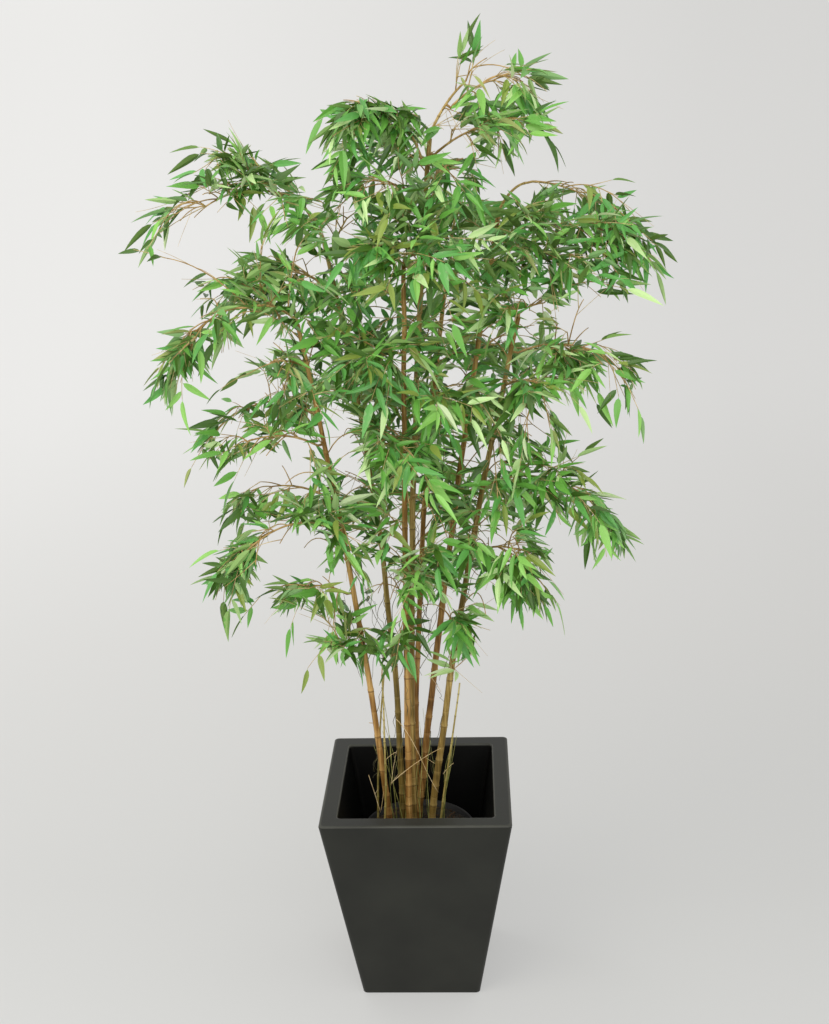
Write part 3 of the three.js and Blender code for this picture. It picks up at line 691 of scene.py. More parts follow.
@dataclass
class Planter:
    """The tall square planter that tapers to its foot, with a flat rim and softly rounded edges."""

    height: float = 456.0
    top: float = 400.0
    base: float = 256.0
    wall: float = 36.5
    floor: float = 30.0
    corner: float = 9.0
    edge: float = 3.5  # radius of the rim's and the foot's edges
    edge_steps: int = 5
    margin: float = 2.5

    def side_at(self, height: float) -> float:
        """Outer width across the flats at a height."""
        return lerp(self.base, self.top, height / self.height)

    def inner_at(self, height: float) -> float:
        """Width of the opening at a height."""
        return self.side_at(height) - 2 * self.wall

    def edge_arc(self, width: float, height: float, start: float, inward: int) -> list[tuple[float, float]]:
        """Width and height along a rounded edge, whose centre is (width, height), as a quarter turn from
        `start` degrees.

        Args:
            width: width across the flats at the arc's centre.
            height: height of the arc's centre.
            start: angle of its first point, from outwards up.
            inward: 1 for an outer edge, -1 for the opening's.

        Returns:
            [width, height] pairs.
        """
        angles = np.radians(start + 90 * np.arange(self.edge_steps + 1) / self.edge_steps)
        wide = width + inward * 2 * self.edge * np.cos(angles)
        high = height + self.edge * np.sin(angles)
        return list(zip(wide.tolist(), high.tolist()))

    def shell(self) -> Shell:
        """The planter's surface: square rings up the outside, over the rim and down the inside to its floor.
        Faces below the rim's inner edge have finish 1, a near-black coat that is painted shade inside the
        planter."""
        edge, margin, top = self.edge, self.margin, self.height
        foot = self.side_at(edge) - 2 * edge
        rim_out = self.side_at(top - edge) - 2 * edge
        rim_in = self.inner_at(top - edge) + 2 * edge
        sections = [(foot - 2 * margin, 0.0)]
        sections += self.edge_arc(foot, edge, -90, 1)
        sections += [(self.side_at(edge + margin), edge + margin)]
        sections += [(self.side_at(top - edge - margin), top - edge - margin)]
        sections += self.edge_arc(rim_out, top - edge, 0, 1)
        sections += [(rim_out - 2 * margin, top), (rim_in + 2 * margin, top)]
        sections += self.edge_arc(rim_in, top - edge, 0, -1)[::-1]
        for height in (top - edge - margin, self.floor + margin, self.floor):
            sections.append((self.inner_at(height), height))
        sections += [(self.inner_at(self.floor) - 2 * margin, self.floor)]
        made = lofted(np.stack([square_ring(wide, self.corner, high) for wide, high in sections]))
        sides = len(square_ring(self.top, self.corner, top))
        inside = 5 * sides  # faces below the opening's rounded edge: its last rings and the floor's fan
        finish = np.zeros(len(made.quads) + len(made.tris), int)
        # finish 1: the near-black coat, painted shade inside the planter
        finish[len(made.quads) - inside + sides : len(made.quads)] = 1
        finish[len(made.quads) + sides :] = 1
        made.finish = finish
        # marks on the rim's outer and inner rounded edges, where the material paints a highlight
        rings = np.zeros(len(sections))
        arc = self.edge_steps + 1
        rings[[2 + arc + 1 + k for k in range(1, arc)]] = 0.22
        rings[[2 + arc + 1 + arc + 2 + k for k in range(1, arc)]] = 0.24
        made.marks = np.concatenate([np.repeat(rings, sides), [0, 0]])
        return made

    def build(self) -> None:
        """Adds the planter in place of its solid."""
        # the inside takes a near-black coat: painted shade down the deep planter
        inner = Fibreclay("inner_painted_shade", "#070706", "#0c0c0a", specular=0.15)
        coats = [Fibreclay().material(), inner.material()]
        piece("planter_shell", self.shell(), coats, ["planter"])


@dataclass
class GrowingPot:
    """The round black pot inside the planter, with a rolled lip and shallow ribs down its wall."""

    foot: float = 30.3
    height: float = 308.0
    foot_radius: float = 84.0
    rim_radius: float = 122.0
    wall: float = 3.0
    lip: float = 6.0
    sides: int = 96
    ribs: int = 24
    rib_depth: float = 0.5

    def radius_at(self, height: float) -> float:
        """Outer radius at a height over the floor."""
        return lerp(self.foot_radius, self.rim_radius, (height - self.foot) / self.height)

    def shell(self) -> Shell:
        """The pot's surface: up the outside, round the lip and down the inside. The wall's radius is less
        rib_depth (1 - cos(ribs a)) / 2."""
        top = self.foot + self.height
        angles = np.linspace(-90, 90, 7)
        lip_middle = self.rim_radius + 2 - self.lip / 2
        lip = [
            (lip_middle + self.lip / 2 * math.cos(a), top - self.lip / 2 + self.lip / 2 * math.sin(a))
            for a in np.radians(angles)
        ]
        profile = [
            (self.foot_radius - 3, self.foot),
            (self.foot_radius, self.foot + 1.5),
            (self.radius_at(top - self.lip) - 0.6, top - self.lip),
            *lip,
            (self.radius_at(top) - self.wall, top - 1),
            (self.radius_at(self.foot + self.wall) - self.wall, self.foot + self.wall),
        ]
        made = turned(np.array(profile), self.sides)
        angle = np.arctan2(made.points[:, 1], made.points[:, 0])
        on_wall = (made.points[:, 2] > self.foot + 1) & (made.points[:, 2] < top - self.lip + 0.1)
        shrink = self.rib_depth * (1 - np.cos(self.ribs * angle)) / 2 * on_wall
        radius = np.maximum(np.linalg.norm(made.points[:, :2], axis=1), 1e-6)
        made.points[:, :2] *= (1 - np.minimum(shrink / radius, 0.5))[:, None]
        return made

    def build(self) -> None:
        """Adds the growing pot in place of its solid."""
        finish = MouldedPolypropylene().material()
        piece("growing_pot_shell", self.shell(), [finish], ["growing_pot"])


@dataclass
class Filling:
    """The dark filling that the canes stand in: a lumpy surface with loose bark chips."""

    radius: float = 117.0
    flat: float = 92.0
    drop: float = 9.0
    base: float = 34.0
    base_radius: float = 80.0
    rings: int = 46
    sides: int = 120
    lump: float = 1.6
    waves: int = 26
    chips: int = 420
    chip_length: tuple[float, float] = (4.0, 11.0)
    seed: int = 5

    def lumps(self, x: Array, y: Array) -> Array:
        """Height of the lumps at a place: the mean of `waves` level sine waves in seeded directions, 8 to 40
        mm long, times `lump`, and never above it.

        Args:
            x: places along X.
            y: places along Y, of the same shape.

        Returns:
            Heights, of that shape.
        """
        draw = np.random.default_rng(self.seed)
        turn, phase = draw.uniform(0, 2 * np.pi, (2, self.waves, 1, 1))
        pitch = 2 * np.pi / draw.uniform(8, 40, (self.waves, 1, 1))
        waves = np.sin(pitch * (x * np.cos(turn) + y * np.sin(turn)) + phase).sum(0)
        return self.lump * np.clip(waves / math.sqrt(self.waves), -1.6, 1.0)

    def top_at(self, radius: Array) -> Array:
        """Height of the smooth surface at a radius: level, then sloping down to the pot's wall."""
        out = np.clip((radius - self.flat) / (self.radius - self.flat), 0, 1)
        return SOIL_TOP - self.drop * out**1.5

    def surface(self) -> Shell:
        """The lumpy disc on the pot's filling: a polar grid over the top, down the side and closed
        underneath."""
        share = np.linspace(1, 0.02, self.rings)
        angle = 2 * np.pi * np.arange(self.sides) / self.sides
        x = self.radius * share[:, None] * np.cos(angle)
        y = self.radius * share[:, None] * np.sin(angle)
        edge = np.clip((1 - share[:, None]) * 12, 0, 1)
        z = self.top_at(np.hypot(x, y)) + self.lumps(x, y) * edge
        top = np.stack([x, y, z], -1)
        ring = np.stack([np.cos(angle), np.sin(angle), np.zeros(self.sides)], -1)
        foot = self.base_radius * ring + [0, 0, self.base]
        return lofted(np.concatenate([foot[None], top]))

    def chip_shell(self) -> Shell:
        """Bark chips as squashed eight-sided lumps: a point is the chip's middle plus its own three
        half-sizes along its own turned axes."""
        draw = np.random.default_rng(self.seed + 1)
        spread = self.radius * 0.96 * np.sqrt(draw.uniform(0, 1, self.chips))
        turn = draw.uniform(0, 2 * np.pi, self.chips)
        x, y = spread * np.cos(turn), spread * np.sin(turn)
        half = draw.uniform(*self.chip_length, self.chips) / 2
        z = self.top_at(spread) + self.lumps(x[:, None], y[:, None])[:, 0] + 0.15 * half
        run = unit(draw.normal(0, 1, (self.chips, 3)) * [1, 1, 0.28])
        reach = run[:, None] * half[:, None, None] * np.linspace(-1, 1, 4)[:, None]
        paths = np.stack([x, y, z], -1)[:, None] + reach
        thick = draw.uniform(0.22, 0.5, self.chips)[:, None] * half[:, None]
        return tubes(paths, thick * np.array([0.45, 1.0, 0.9, 0.4]), 5)

    def build(self) -> None:
        """Adds the filling and its chips in place of their solid."""
        dark = PeatFilling("dark", "#0f0d09", "#2f2718").material()
        bark = PeatFilling("bark", "#2a1c10", "#5a4228", crumb=3.0).material()
        piece("filling", self.surface(), [dark], ["soil"])
        piece("bark_chips", self.chip_shell(), [bark])


# ---- limbs ----
@dataclass
class Arch:
    """A quadratic curve through a start, by way of a control point, to an end."""

    start: Array
    control: Array
    end: Array

    def at(self, share: float | Array) -> Array:
        """The point at a share: (1 - t)^2 start + 2 t (1 - t) control + t^2 end."""
        t = np.asarray(share, float)[..., None]
        return (1 - t) ** 2 * self.start + 2 * t * (1 - t) * self.control + t**2 * self.end

    def tangent(self, share: float | Array) -> Array:
        """The way the curve runs at a share."""
        t = np.asarray(share, float)[..., None]
        return unit((1 - t) * (self.control - self.start) + t * (self.end - self.control))

    def length(self) -> float:
        """Its length, as 200 chords."""
        return float(np.linalg.norm(np.diff(self.at(np.linspace(0, 1, 201)), axis=0), axis=1).sum())


@dataclass
class Limb:
    """A cane, shoot or bough: sections from its foot at share 0 to its tip at share 1, joined by straight
    lengths."""

    name: str
    shares: Array
    centres: Array
    radii: Array
    foot_height: float | None = None
    rise: float = 1.0

    def share(self, at: float) -> float:
        """The share of a place that a row gives as a share, or as a height over the floor."""
        return at if at <= 1 else (at - SOIL_TOP) / self.rise

    def place(self, share: float) -> tuple[Array, float, Array]:
        """The centre, the radius and the direction at a share.

        Args:
            share: the share of the way from foot to tip.

        Returns:
            The three of them.
        """
        high = max(1, int(np.searchsorted(self.shares, share)))
        high = min(high, len(self.shares) - 1)
        part = (share - self.shares[high - 1]) / (self.shares[high] - self.shares[high - 1])
        centre = lerp(self.centres[high - 1], self.centres[high], part)
        radius = lerp(self.radii[high - 1], self.radii[high], part)
        return centre, radius, unit(self.centres[high] - self.centres[high - 1])


@dataclass(frozen=True)
class CaneRow:
    """A cane or a shoot: its foot on the filling, its head, its sideways bow at the middle and its two
    radii."""

    name: str
    foot: tuple[float, float]
    head: tuple[float, float, float]
    bow: float
    foot_radius: float
    head_radius: float

    def curve(self) -> Arch:
        """Its centre line."""
        start = np.array([*self.foot, SOIL_TOP + FIT])
        end = np.array(self.head, float)
        return Arch(start, (start + end) / 2 + [2 * self.bow, 0, 0], end)

    def rise(self) -> float:
        """Its height over the filling."""
        return self.head[2] - SOIL_TOP


@dataclass(frozen=True)
class BranchRow:
    """A bough or a mass: the limb it leaves, where, its bearing in degrees, and how far out, up and over it
    goes. The last two are a bough's radii, or a mass's spread and its number of side twigs."""

    name: str
    limb: str
    at: float
    bearing: float
    reach: float
    crest: float
    end: float
    first: float
    second: float


CANES = (
    CaneRow("cane_left", (-60, -30), (-200, -80, 1475), 14, 6.8, 4.2),
    CaneRow("cane_left_back", (-38, 30), (-160, 100, 1605), 33, 6.8, 4.2),
    CaneRow("cane_front", (-20, -36), (5, -50, 1580), -3, 7.2, 4.4),
    CaneRow("cane_tall", (-12, -3), (59, 0, 1808), -17, 7.6, 4.4),
    CaneRow("cane_back", (-8, 58), (88, 105, 1560), -21, 6.4, 4.2),
    CaneRow("cane_right_back", (-4, 32), (188, 60, 1657), -10, 7.6, 4.4),
    CaneRow("cane_right", (25, -22), (222, -60, 1476), -16, 7.6, 4.4),
)
SHOOTS = (
    CaneRow("shoot_left", (-92, 4), (-63, -10, 733), -4, 2.4, 1.6),
    CaneRow("shoot_middle", (-74, -62), (-66, -58, 731), 4, 2.4, 1.6),
    CaneRow("shoot_right", (40, -52), (96, -66, 715), 1, 2.4, 1.6),
)
BOUGH_ROWS = (
    ("left_high", "cane_left_back", 1, 192, 92, 100, 122, 4, 3),
    ("left_second", "cane_left", 1, 184, 92, 48, 36, 4, 3),
    ("top_left", "cane_tall", 1770, 190, 66, 66, 86, 3.6, 2.8),
    ("top_right", "cane_tall", 1, 5, 64, 66, 96, 4, 2.8),
    ("right_first", "cane_right_back", 1, 358, 58, 58, 60, 4, 3),
    ("back", "cane_back", 1, 75, 80, 78, 92, 4, 3),
)
MASS_ROWS = (
    # top of the crown
    ("top_leader", "bough_top_right", 1, 345, 42, 40, 38, 62, 2),
    ("top_right_upper", "bough_top_right", 0.6, 344, 205, 80, 25, 90, 4),
    ("top_right_lower", "cane_tall", 1780, 331, 265, 84, 50, 102, 4),
    ("top_right_back", "cane_tall", 1735, 45, 225, 60, 10, 105, 4),
    ("top_left", "bough_top_left", 1, 200, 130, 30, -25, 90, 4),
    ("top_left_low", "cane_tall", 1700, 215, 215, 60, 10, 105, 4),
    ("top_back", "cane_tall", 1760, 105, 230, 30, -30, 105, 4),
    # left side, from the top down
    ("left_high_inner", "bough_left_high", 1, 172, 185, 70, 50, 85, 4),
    ("left_high_outer", "bough_left_high", 0.7, 212, 295, 70, -90, 90, 5),
    ("left_shoulder", "cane_left_back", 1520, 205, 235, 80, 0, 110, 4),
    ("left_top", "cane_left_back", 1585, 320, 140, 100, 130, 90, 3),
    ("left_second_upper", "bough_left_second", 0.5, 155, 205, 80, 55, 95, 4),
    ("left_second_outer", "bough_left_second", 1, 195, 190, 10, -150, 90, 4),
    ("left_third", "cane_left", 1400, 220, 185, 40, -30, 95, 4),
    ("left_fourth_upper", "cane_left", 1300, 165, 255, 70, -100, 95, 4),
    ("left_fourth_lower", "cane_left", 1235, 195, 260, 70, -45, 90, 4),
    ("left_fifth_upper", "cane_left", 1120, 155, 270, 50, -50, 95, 4),
    ("left_fifth_lower", "cane_left", 1055, 200, 300, 90, -140, 90, 4),
    ("left_sixth", "cane_left", 915, 185, 185, 50, -20, 75, 3),
    ("left_lowest", "cane_left", 790, 225, 120, 40, 20, 60, 2),
    # right side, from the top down
    ("right_first_upper", "bough_right_first", 1, 350, 220, 0, -95, 100, 4),
    ("right_first_outer", "cane_right_back", 1620, 338, 350, 60, -30, 110, 5),
    ("right_first_lower", "cane_right_back", 1570, 315, 290, 50, -50, 110, 5),
    ("right_dark", "cane_right", 1, 45, 180, 40, -25, 95, 4),
    ("right_second_outer", "cane_right", 1410, 355, 285, 55, -80, 100, 5),
    ("right_second_front", "cane_right", 1350, 305, 235, 45, -20, 105, 4),
    ("right_third", "cane_right", 1235, 60, 175, 40, -40, 85, 3),
    ("right_fourth_outer", "cane_right", 1145, 352, 330, 70, -145, 95, 4),
    ("right_fifth", "cane_right", 1000, 320, 235, 65, -20, 90, 4),
    ("right_low", "cane_right", 840, 245, 90, 40, 10, 60, 2),
    # front
    ("front_high", "cane_front", 1, 300, 260, 60, -20, 115, 4),
    ("front_mid_left", "cane_front", 1410, 230, 245, 50, -20, 110, 4),
    ("front_mid", "cane_front", 1240, 262, 270, 60, -30, 110, 4),
    ("front_mid_right", "cane_front", 1320, 315, 255, 60, -20, 110, 4),
    ("front_low", "cane_front", 960, 285, 220, 50, -10, 85, 4),
    # back
    ("back_high", "bough_back", 1, 85, 220, 40, -50, 110, 4),
    ("back_upper_left", "cane_left_back", 1465, 99, 240, 60, -20, 105, 4),
    ("back_left", "cane_left_back", 1270, 112, 270, 60, -50, 115, 4),
    ("back_right", "cane_right_back", 1380, 62, 280, 60, -50, 115, 4),
    ("back_low_left", "cane_left_back", 1060, 102, 250, 60, -40, 100, 4),
    ("back_low_right", "cane_right_back", 1070, 55, 265, 60, -50, 105, 4),
)
BOUGHS = tuple(BranchRow("bough_" + name, *where) for name, *where in BOUGH_ROWS)
MASSES = tuple(BranchRow("foliage_" + name, *where) for name, *where in MASS_ROWS)
FIRST_SEED = 11
OPEN_ROWS = (
    # masses with fewer short twigs, and the share that each keeps
    ("top_leader", 0.2), ("top_left", 0.2), ("left_high_inner", 0.5), ("left_high_outer", 0.5),
    ("left_second_outer", 0.6), ("left_third", 0.0), ("left_fourth_upper", 0.15), ("left_fourth_lower", 0.15),
    ("left_fifth_upper", 0.35), ("left_fifth_lower", 0.5), ("front_mid_left", 0.5),
    ("right_fourth_outer", 0.7),
)
OPEN_MASSES = {"foliage_" + name: share for name, share in OPEN_ROWS}
EYE = (130.0, -2731.0, 1953.0)  # where someone stands to look at the front
CLEARINGS = np.array([
    # open air through the crown, as seen from EYE: x and z in the upright plane y = 0, and two half-sizes
    -283, 1159, 94, 48, -247, 988, 75, 63, -288, 1338, 60, 26, -379, 1682, 52, 41, -120, 1176, 24, 84,
    -59, 903, 31, 60, -107, 1665, 29, 41, 116, 1807, 38, 31, 348, 1457, 62, 43, 245, 1464, 23, 51,
    252, 1250, 40, 31, -184, 1571, 31, 29, -183, 1916, 56, 21, -20, 1901, 34, 27, 336, 1730, 64, 22,
    175, 1710, 30, 22, 188, 1010, 39, 26, 44, 848, 36, 34, 106, 1351, 18, 26, 137, 1188, 24, 29,
    -113, 1017, 25, 20, -5, 1733, 23, 22, 307, 947, 27, 35, 178, 1954, 26, 21, -343, 1259, 20, 33,
    -370, 1829, 30, 29, -299, 1829, 27, 18, 98, 1862, 19, 29, 57, 1856, 19, 18, -313, 1631, 43, 25,
    -251, 1620, 47, 19, -355, 1579, 29, 25, -428, 1646, 25, 29, -357, 1381, 48, 24, -447, 1331, 22, 39,
    -283, 1419, 30, 24, -237, 1234, 36, 21, -428, 1166, 27, 27, 97, 1912, 24, 30, 192, 1913, 33, 23,
    63, 1794, 25, 16, 404, 1343, 24, 40, 407, 1403, 27, 18, 349, 1279, 28, 20, 338, 1184, 24, 23,
    173, 1168, 22, 19, 420, 945, 18, 33, -416, 877, 51, 27, -242, 850, 25, 27, -173, 828, 25, 27,
    -211, 753, 32, 28, 150, 772, 25, 34, 130, 700, 34, 44, 255, 834, 23, 25, -84, 1892, 52, 18,
    -149, 1802, 21, 16, 191, 1798, 21, 18, 172, 1756, 38, 17, 247, 1767, 26, 22, 363, 1512, 42, 16,
    -28, 1085, 14, 38, -46, 1490, 16, 24, 133, 1931, 22, 21, 213, 1731, 42, 24, -367, 1768, 25, 20,
    -266, 1697, 23, 19, -310, 1666, 23, 19, -130, 1638, 17, 17, -460, 1612, 27, 23, -482, 1475, 44, 24,
    -425, 1358, 18, 28, -333, 1408, 28, 20, -367, 1235, 28, 23, -185, 1835, 26, 22, 32, 1893, 17, 25,
    -63, 1727, 23, 19, 262, 1498, 19, 19, 450, 1670, 26, 15, 366, 1169, 36, 21, 428, 1066, 28, 21,
    470, 990, 24, 48, -314, 920, 29, 22, -307, 857, 34, 32, 141, 883, 27, 25, 161, 810, 36, 32,
    -139, 933, 29, 22, -109, 1255, 20, 25, -152, 1203, 14, 29, -221, 1120, 27, 21, 148, 1936, 19, 14,
    52, 1887, 17, 25, 79, 1848, 17, 22, 111, 1745, 23, 17, -138, 1840, 26, 16, -156, 1700, 21, 22,
    -528, 1583, 24, 27, -33, 989, 19, 22, 296, 1162, 20, 21, 276, 1019, 27, 19, 214, 994, 27, 20,
    280, 914, 23, 29, 192, 819, 25, 27, -165, 720, 32, 28, -234, 723, 26, 23, 415, 1483, 25, 25,
    466, 1305, 24, 36, -397, 1132, 25, 26, -213, 1207, 24, 21, -200, 925, 27, 20, -496, 1302, 22, 21,
    -529, 1347, 18, 33, -248, 1431, 24, 18, -404, 1637, 19, 19, -333, 1327, 40, 18, 365, 1307, 20, 24,
    440, 953, 18, 31, 219, 1718, 38, 13, 371, 1078, 16, 17, 93, 1953, 26, 21, 397, 1701, 25, 20,
    329, 1691, 17, 15, -203, 1612, 19, 21, -138, 1249, 22, 23, -414, 1525, 26, 23, -421, 1488, 22, 18,
    266, 1229, 20, 21, -271, 1034, 37, 17, -86, 953, 19, 26, 155, 1047, 16, 17, 319, 1021, 20, 24,
    422, 1308, 16, 24, 48, 1795, 15, 16, 142, 1779, 17, 15, 317, 1432, 23, 16, 262, 1504, 17, 19,
    384, 1521, 17, 17, 233, 1905, 22, 16, 166, 1885, 20, 14, -245, 1791, 21, 17, -425, 1687, 25, 13,
    -434, 1575, 71, 19, -197, 822, 42, 29, -407, 1004, 25, 18, -275, 830, 19, 20, 60, 1847, 17, 18,
    168, 1434, 18, 20, 221, 1427, 12, 22, 294, 1288, 24, 16, 266, 1876, 17, 14, 298, 1880, 22, 21,
    93, 1790, 17, 18,
], float).reshape(-1, 4)
WINDOWS = np.array([
    # places where a cane shows, in the same way: only the leaves before WINDOW_DEPTH are gone
    10, 1052, 31, 81, 82, 1459, 14, 49, 79, 1016, 14, 48, 167, 1193, 14, 29, -4, 1381, 16, 22,
    -178, 1212, 14, 33, 0, 1586, 14, 38, 137, 1024, 14, 22, 101, 872, 19, 20, 24, 1346, 16, 16,
    62, 1344, 12, 16, -42, 721, 13, 32, -91, 726, 13, 28, 45, 784, 13, 32, 47, 1747, 13, 22,
    197, 1331, 14, 20, 180, 1251, 12, 19, 157, 1160, 14, 29, 118, 1240, 12, 21, 98, 1157, 12, 32,
    -131, 975, 12, 20, -148, 1631, 12, 23, 0, 1543, 14, 23, -3, 1296, 14, 18, -42, 836, 13, 23,
    -123, 868, 13, 45, 115, 932, 12, 18,
], float).reshape(-1, 4)
WINDOW_DEPTH = 95.0
FILLS = np.array([
    # middles of clusters that hang on twigs of their own between the masses
    273, -40, 1912, 285, -60, 1838, 227, -60, 1854, 191, -40, 1866, -8, -60, 1849, -457, -100, 1695,
    -480, -120, 1646, -208, -110, 1690, -158, -120, 1666, -255, -90, 1670, -285, 0, 1755, -54, -150, 1636,
    4, -140, 1652, 419, -90, 1581, 468, -60, 1626, 368, -140, 1596, 498, -60, 1575, 445, -110, 1376,
    459, -120, 1324, 322, -110, 1229, 296, -160, 1216, 363, -100, 1037, 434, -60, 969, 307, -140, 1103,
    189, -190, 994, 221, -190, 943, 284, -150, 914, -67, -120, 826, -33, -130, 808, 102, -60, 776,
    -394, -80, 1261, -427, -80, 1220, -272, -60, 1275, -179, -110, 1274, -452, -120, 1420, -448, -140, 1350,
    -342, -80, 1438, -350, 0, 1518, 184, -190, 1522, 220, -180, 1346, -248, -60, 1101, -354, -60, 1030,
    -407, -60, 938, -288, -40, 904, -137, -60, 875, -148, -120, 1505, -175, -120, 1410, -362, -60, 1289,
    -303, -70, 1311, -343, -90, 1207, -372, -40, 1103, -262, -90, 1128, -225, -110, 1141, -331, -90, 1053,
    -127, -60, 1745, -106, -90, 1732, -182, -110, 1664, -78, -150, 1637, -14, -60, 1871, 10, -40, 1866,
    233, -130, 1706, 219, -190, 1237, 267, -160, 1224, 190, -190, 1099, 218, -190, 1111, -42, -140, 1041,
    -84, -120, 1009, -260, -70, 1378, 123, -10, 1961, -132, -150, 1134, -126, -140, 1069, 143, -140, 1136,
    195, -170, 1627, 31, -190, 1571, 212, -170, 1528, 408, -110, 1569, 101, -120, 922, 130, -130, 882,
    -389, -60, 1302, 251, -20, 1926, 279, -30, 1901, 108, -60, 1864, 121, -70, 1846, -133, -50, 1755,
    -135, -80, 1734, -290, 20, 1791, -261, 0, 1768, -402, -60, 1730, -435, -80, 1714, -472, -130, 1638,
    -82, -160, 1642, -83, -160, 1624, 20, -150, 1683, 208, -160, 1662, 351, -140, 1556, 404, -120, 1560,
    491, -40, 1580, 468, -60, 1626, 361, -150, 1386, 332, -160, 1402, 433, -80, 1412, 461, -90, 1360,
    302, -150, 1276, 286, -170, 1262, 218, -180, 939, 303, -120, 914, 282, -150, 1004, 61, -190, 1073,
    123, -160, 1072, 180, -190, 1112, -167, -120, 1180, -101, -140, 1231, -363, -90, 1202, -330, -70, 1210,
    -255, -80, 1278, -256, -80, 1358, -276, -70, 1376, -178, -120, 1277, -462, -140, 1362, -464, -130, 1412,
    -412, -20, 1556, -388, 0, 1533, -247, -50, 954, -201, -80, 910, -167, -90, 826, -214, -80, 822,
    -394, -70, 931, -352, -60, 904, -396, -80, 967, 192, -190, 1317, 98, -190, 1271, 93, -180, 1499,
    -84, -60, 1883, -106, -60, 1887, -42, -150, 1082, -72, -140, 1075, 274, -30, 1911, 446, -20, 1687,
    171, -60, 1770, 130, -120, 1722, 64, -100, 1729, -380, -20, 1778, -350, 0, 1786, -86, -160, 1649,
    -182, -110, 1664, -151, -120, 1591, 221, -190, 1549, 170, -190, 1561, 170, -190, 1503, 307, -120, 1487,
    -100, -160, 1321, 440, -50, 1023, 409, -70, 1085, 50, -190, 1081, 113, -180, 1069, 140, -110, 878,
    -322, -60, 1043, -373, -70, 926, -406, -70, 927, -268, -50, 877, 156, -10, 1971, -173, -110, 1173,
    46, -180, 1450, 17, -190, 1406, -146, -130, 1396, -214, -60, 1519, 237, -60, 1701, 6, -100, 1875,
    -59, -60, 1893, -111, -60, 1884, -130, -80, 1832, -308, -60, 1700, -406, -20, 1726, -381, 0, 1785,
    -2, -200, 1582, -11, -160, 1710, 113, -20, 1859, -200, -100, 1457, -270, -80, 1408, 209, -170, 1337,
    182, -170, 1244, 296, -140, 1504, -183, -90, 1273, 408, -60, 1090, 374, -110, 1362, 430, -90, 1337,
    -370, -80, 1213, 16, -190, 1090, 284, -20, 1922, 209, -40, 1773, 156, -60, 1765, -454, -60, 1653,
    -112, -130, 1314, -170, -100, 1256, -422, -70, 1228, -339, -80, 1204, -450, -110, 1343,
    -481, -110, 1350, -177, -120, 1729, -169, -130, 1684, -445, 0, 1722, 269, -130, 927, 376, -90, 1350,
    455, -90, 1326, 211, -150, 1309, 298, -120, 1218, -350, -60, 937, -408, -60, 927, -53, -110, 833,
    -97, -120, 978, 444, -50, 1008,
], float).reshape(-1, 3)


def node_heights(rise: float, number: int) -> Array:
    """Heights of a cane's nodes over its foot: close together at the foot and wider apart upwards.

    Args:
        rise: the cane's height.
        number: its place among the canes, which shifts its nodes.

    Returns:
        The heights, from the foot up.
    """
    heights, step, height = [], NODE_SPACING, NODE_FIRST + (number * 13) % 30
    while height < rise - NODE_LAST:
        heights.append(height)
        height += step
        step = min(step * NODE_GROWTH, NODE_WIDEST)
    return np.array(heights)


@dataclass
class Skeleton:
    """Every cane, shoot and bough as a limb, with the places where pieces leave them."""

    limbs: dict[str, Limb] = field(default_factory=dict)

    def __post_init__(self) -> None:
        """Sets out the limbs in the order of the rows."""
        for number, row in enumerate(CANES):
            nodes = node_heights(row.rise(), number)
            heights = np.concatenate([[0], np.stack([nodes, nodes + NODE_STEP], -1).ravel(), [row.rise()]])
            swells = np.concatenate([[0], np.tile([NODE_SWELL, 0], len(nodes)), [0]])
            self.add_cane(row, heights, swells)
        for row in SHOOTS:
            self.add_cane(row, np.linspace(0, row.rise(), 5), np.zeros(5))
        for row in BOUGHS:
            point, facing = self.root(row)
            curve = self.branch(row, point, facing)
            centres = np.concatenate([[point], curve.at(np.arange(BOUGH_STEPS + 1) / BOUGH_STEPS)])
            shares = np.linspace(0, 1, len(centres))
            self.limbs[row.name] = Limb(row.name, shares, centres, lerp(row.first, row.second, shares))

    def add_cane(self, row: CaneRow, heights: Array, swells: Array) -> None:
        """Keeps a cane as a limb with sections at the given heights over its foot.

        Args:
            row: the cane.
            heights: its sections, over its foot.
            swells: what each adds to the radius.
        """
        shares = heights / row.rise()
        radii = lerp(row.foot_radius, row.head_radius, shares) + swells
        self.limbs[row.name] = Limb(row.name, shares, row.curve().at(shares), radii, SOIL_TOP, row.rise())

    def root(self, row: BranchRow) -> tuple[Array, Array]:
        """Where a bough or a mass leaves its limb and the way it faces there, FIT clear of the limb's
        surface.

        Args:
            row: the bough or the mass.

        Returns:
            The place and the unit direction.
        """
        limb = self.limbs[row.limb]
        share = limb.share(row.at)
        centre, _, axis = limb.place(share)
        if share == 1:
            return centre + axis * FIT, axis
        out = heading(row.bearing)
        facing = unit(out - axis * np.dot(out, axis))
        beside = 1.2 * STEM_RADIUS / np.linalg.norm(limb.centres[-1] - limb.centres[0])
        surface = max(limb.place(share + step)[1] for step in (-beside, 0, beside))
        return centre + facing * (surface + FIT), facing

    def branch(self, row: BranchRow, point: Array, facing: Array) -> Arch:
        """The centre line past a root's straight lead: out along the bearing by way of the crest to the
        end."""
        out = heading(row.bearing)
        control = point + out * 0.45 * row.reach + UP * row.crest
        return Arch(point + facing * LEAD, control, point + out * row.reach + UP * row.end)

    def lines(self) -> tuple[Array, Array, Array]:
        """Starts and ends of every straight length of every limb, and the limb's widest radius for each."""
        limbs = list(self.limbs.values())
        starts = np.concatenate([limb.centres[:-1] for limb in limbs])
        ends = np.concatenate([limb.centres[1:] for limb in limbs])
        widest = np.concatenate([np.full(len(limb.centres) - 1, limb.radii.max()) for limb in limbs])
        return starts, ends, widest


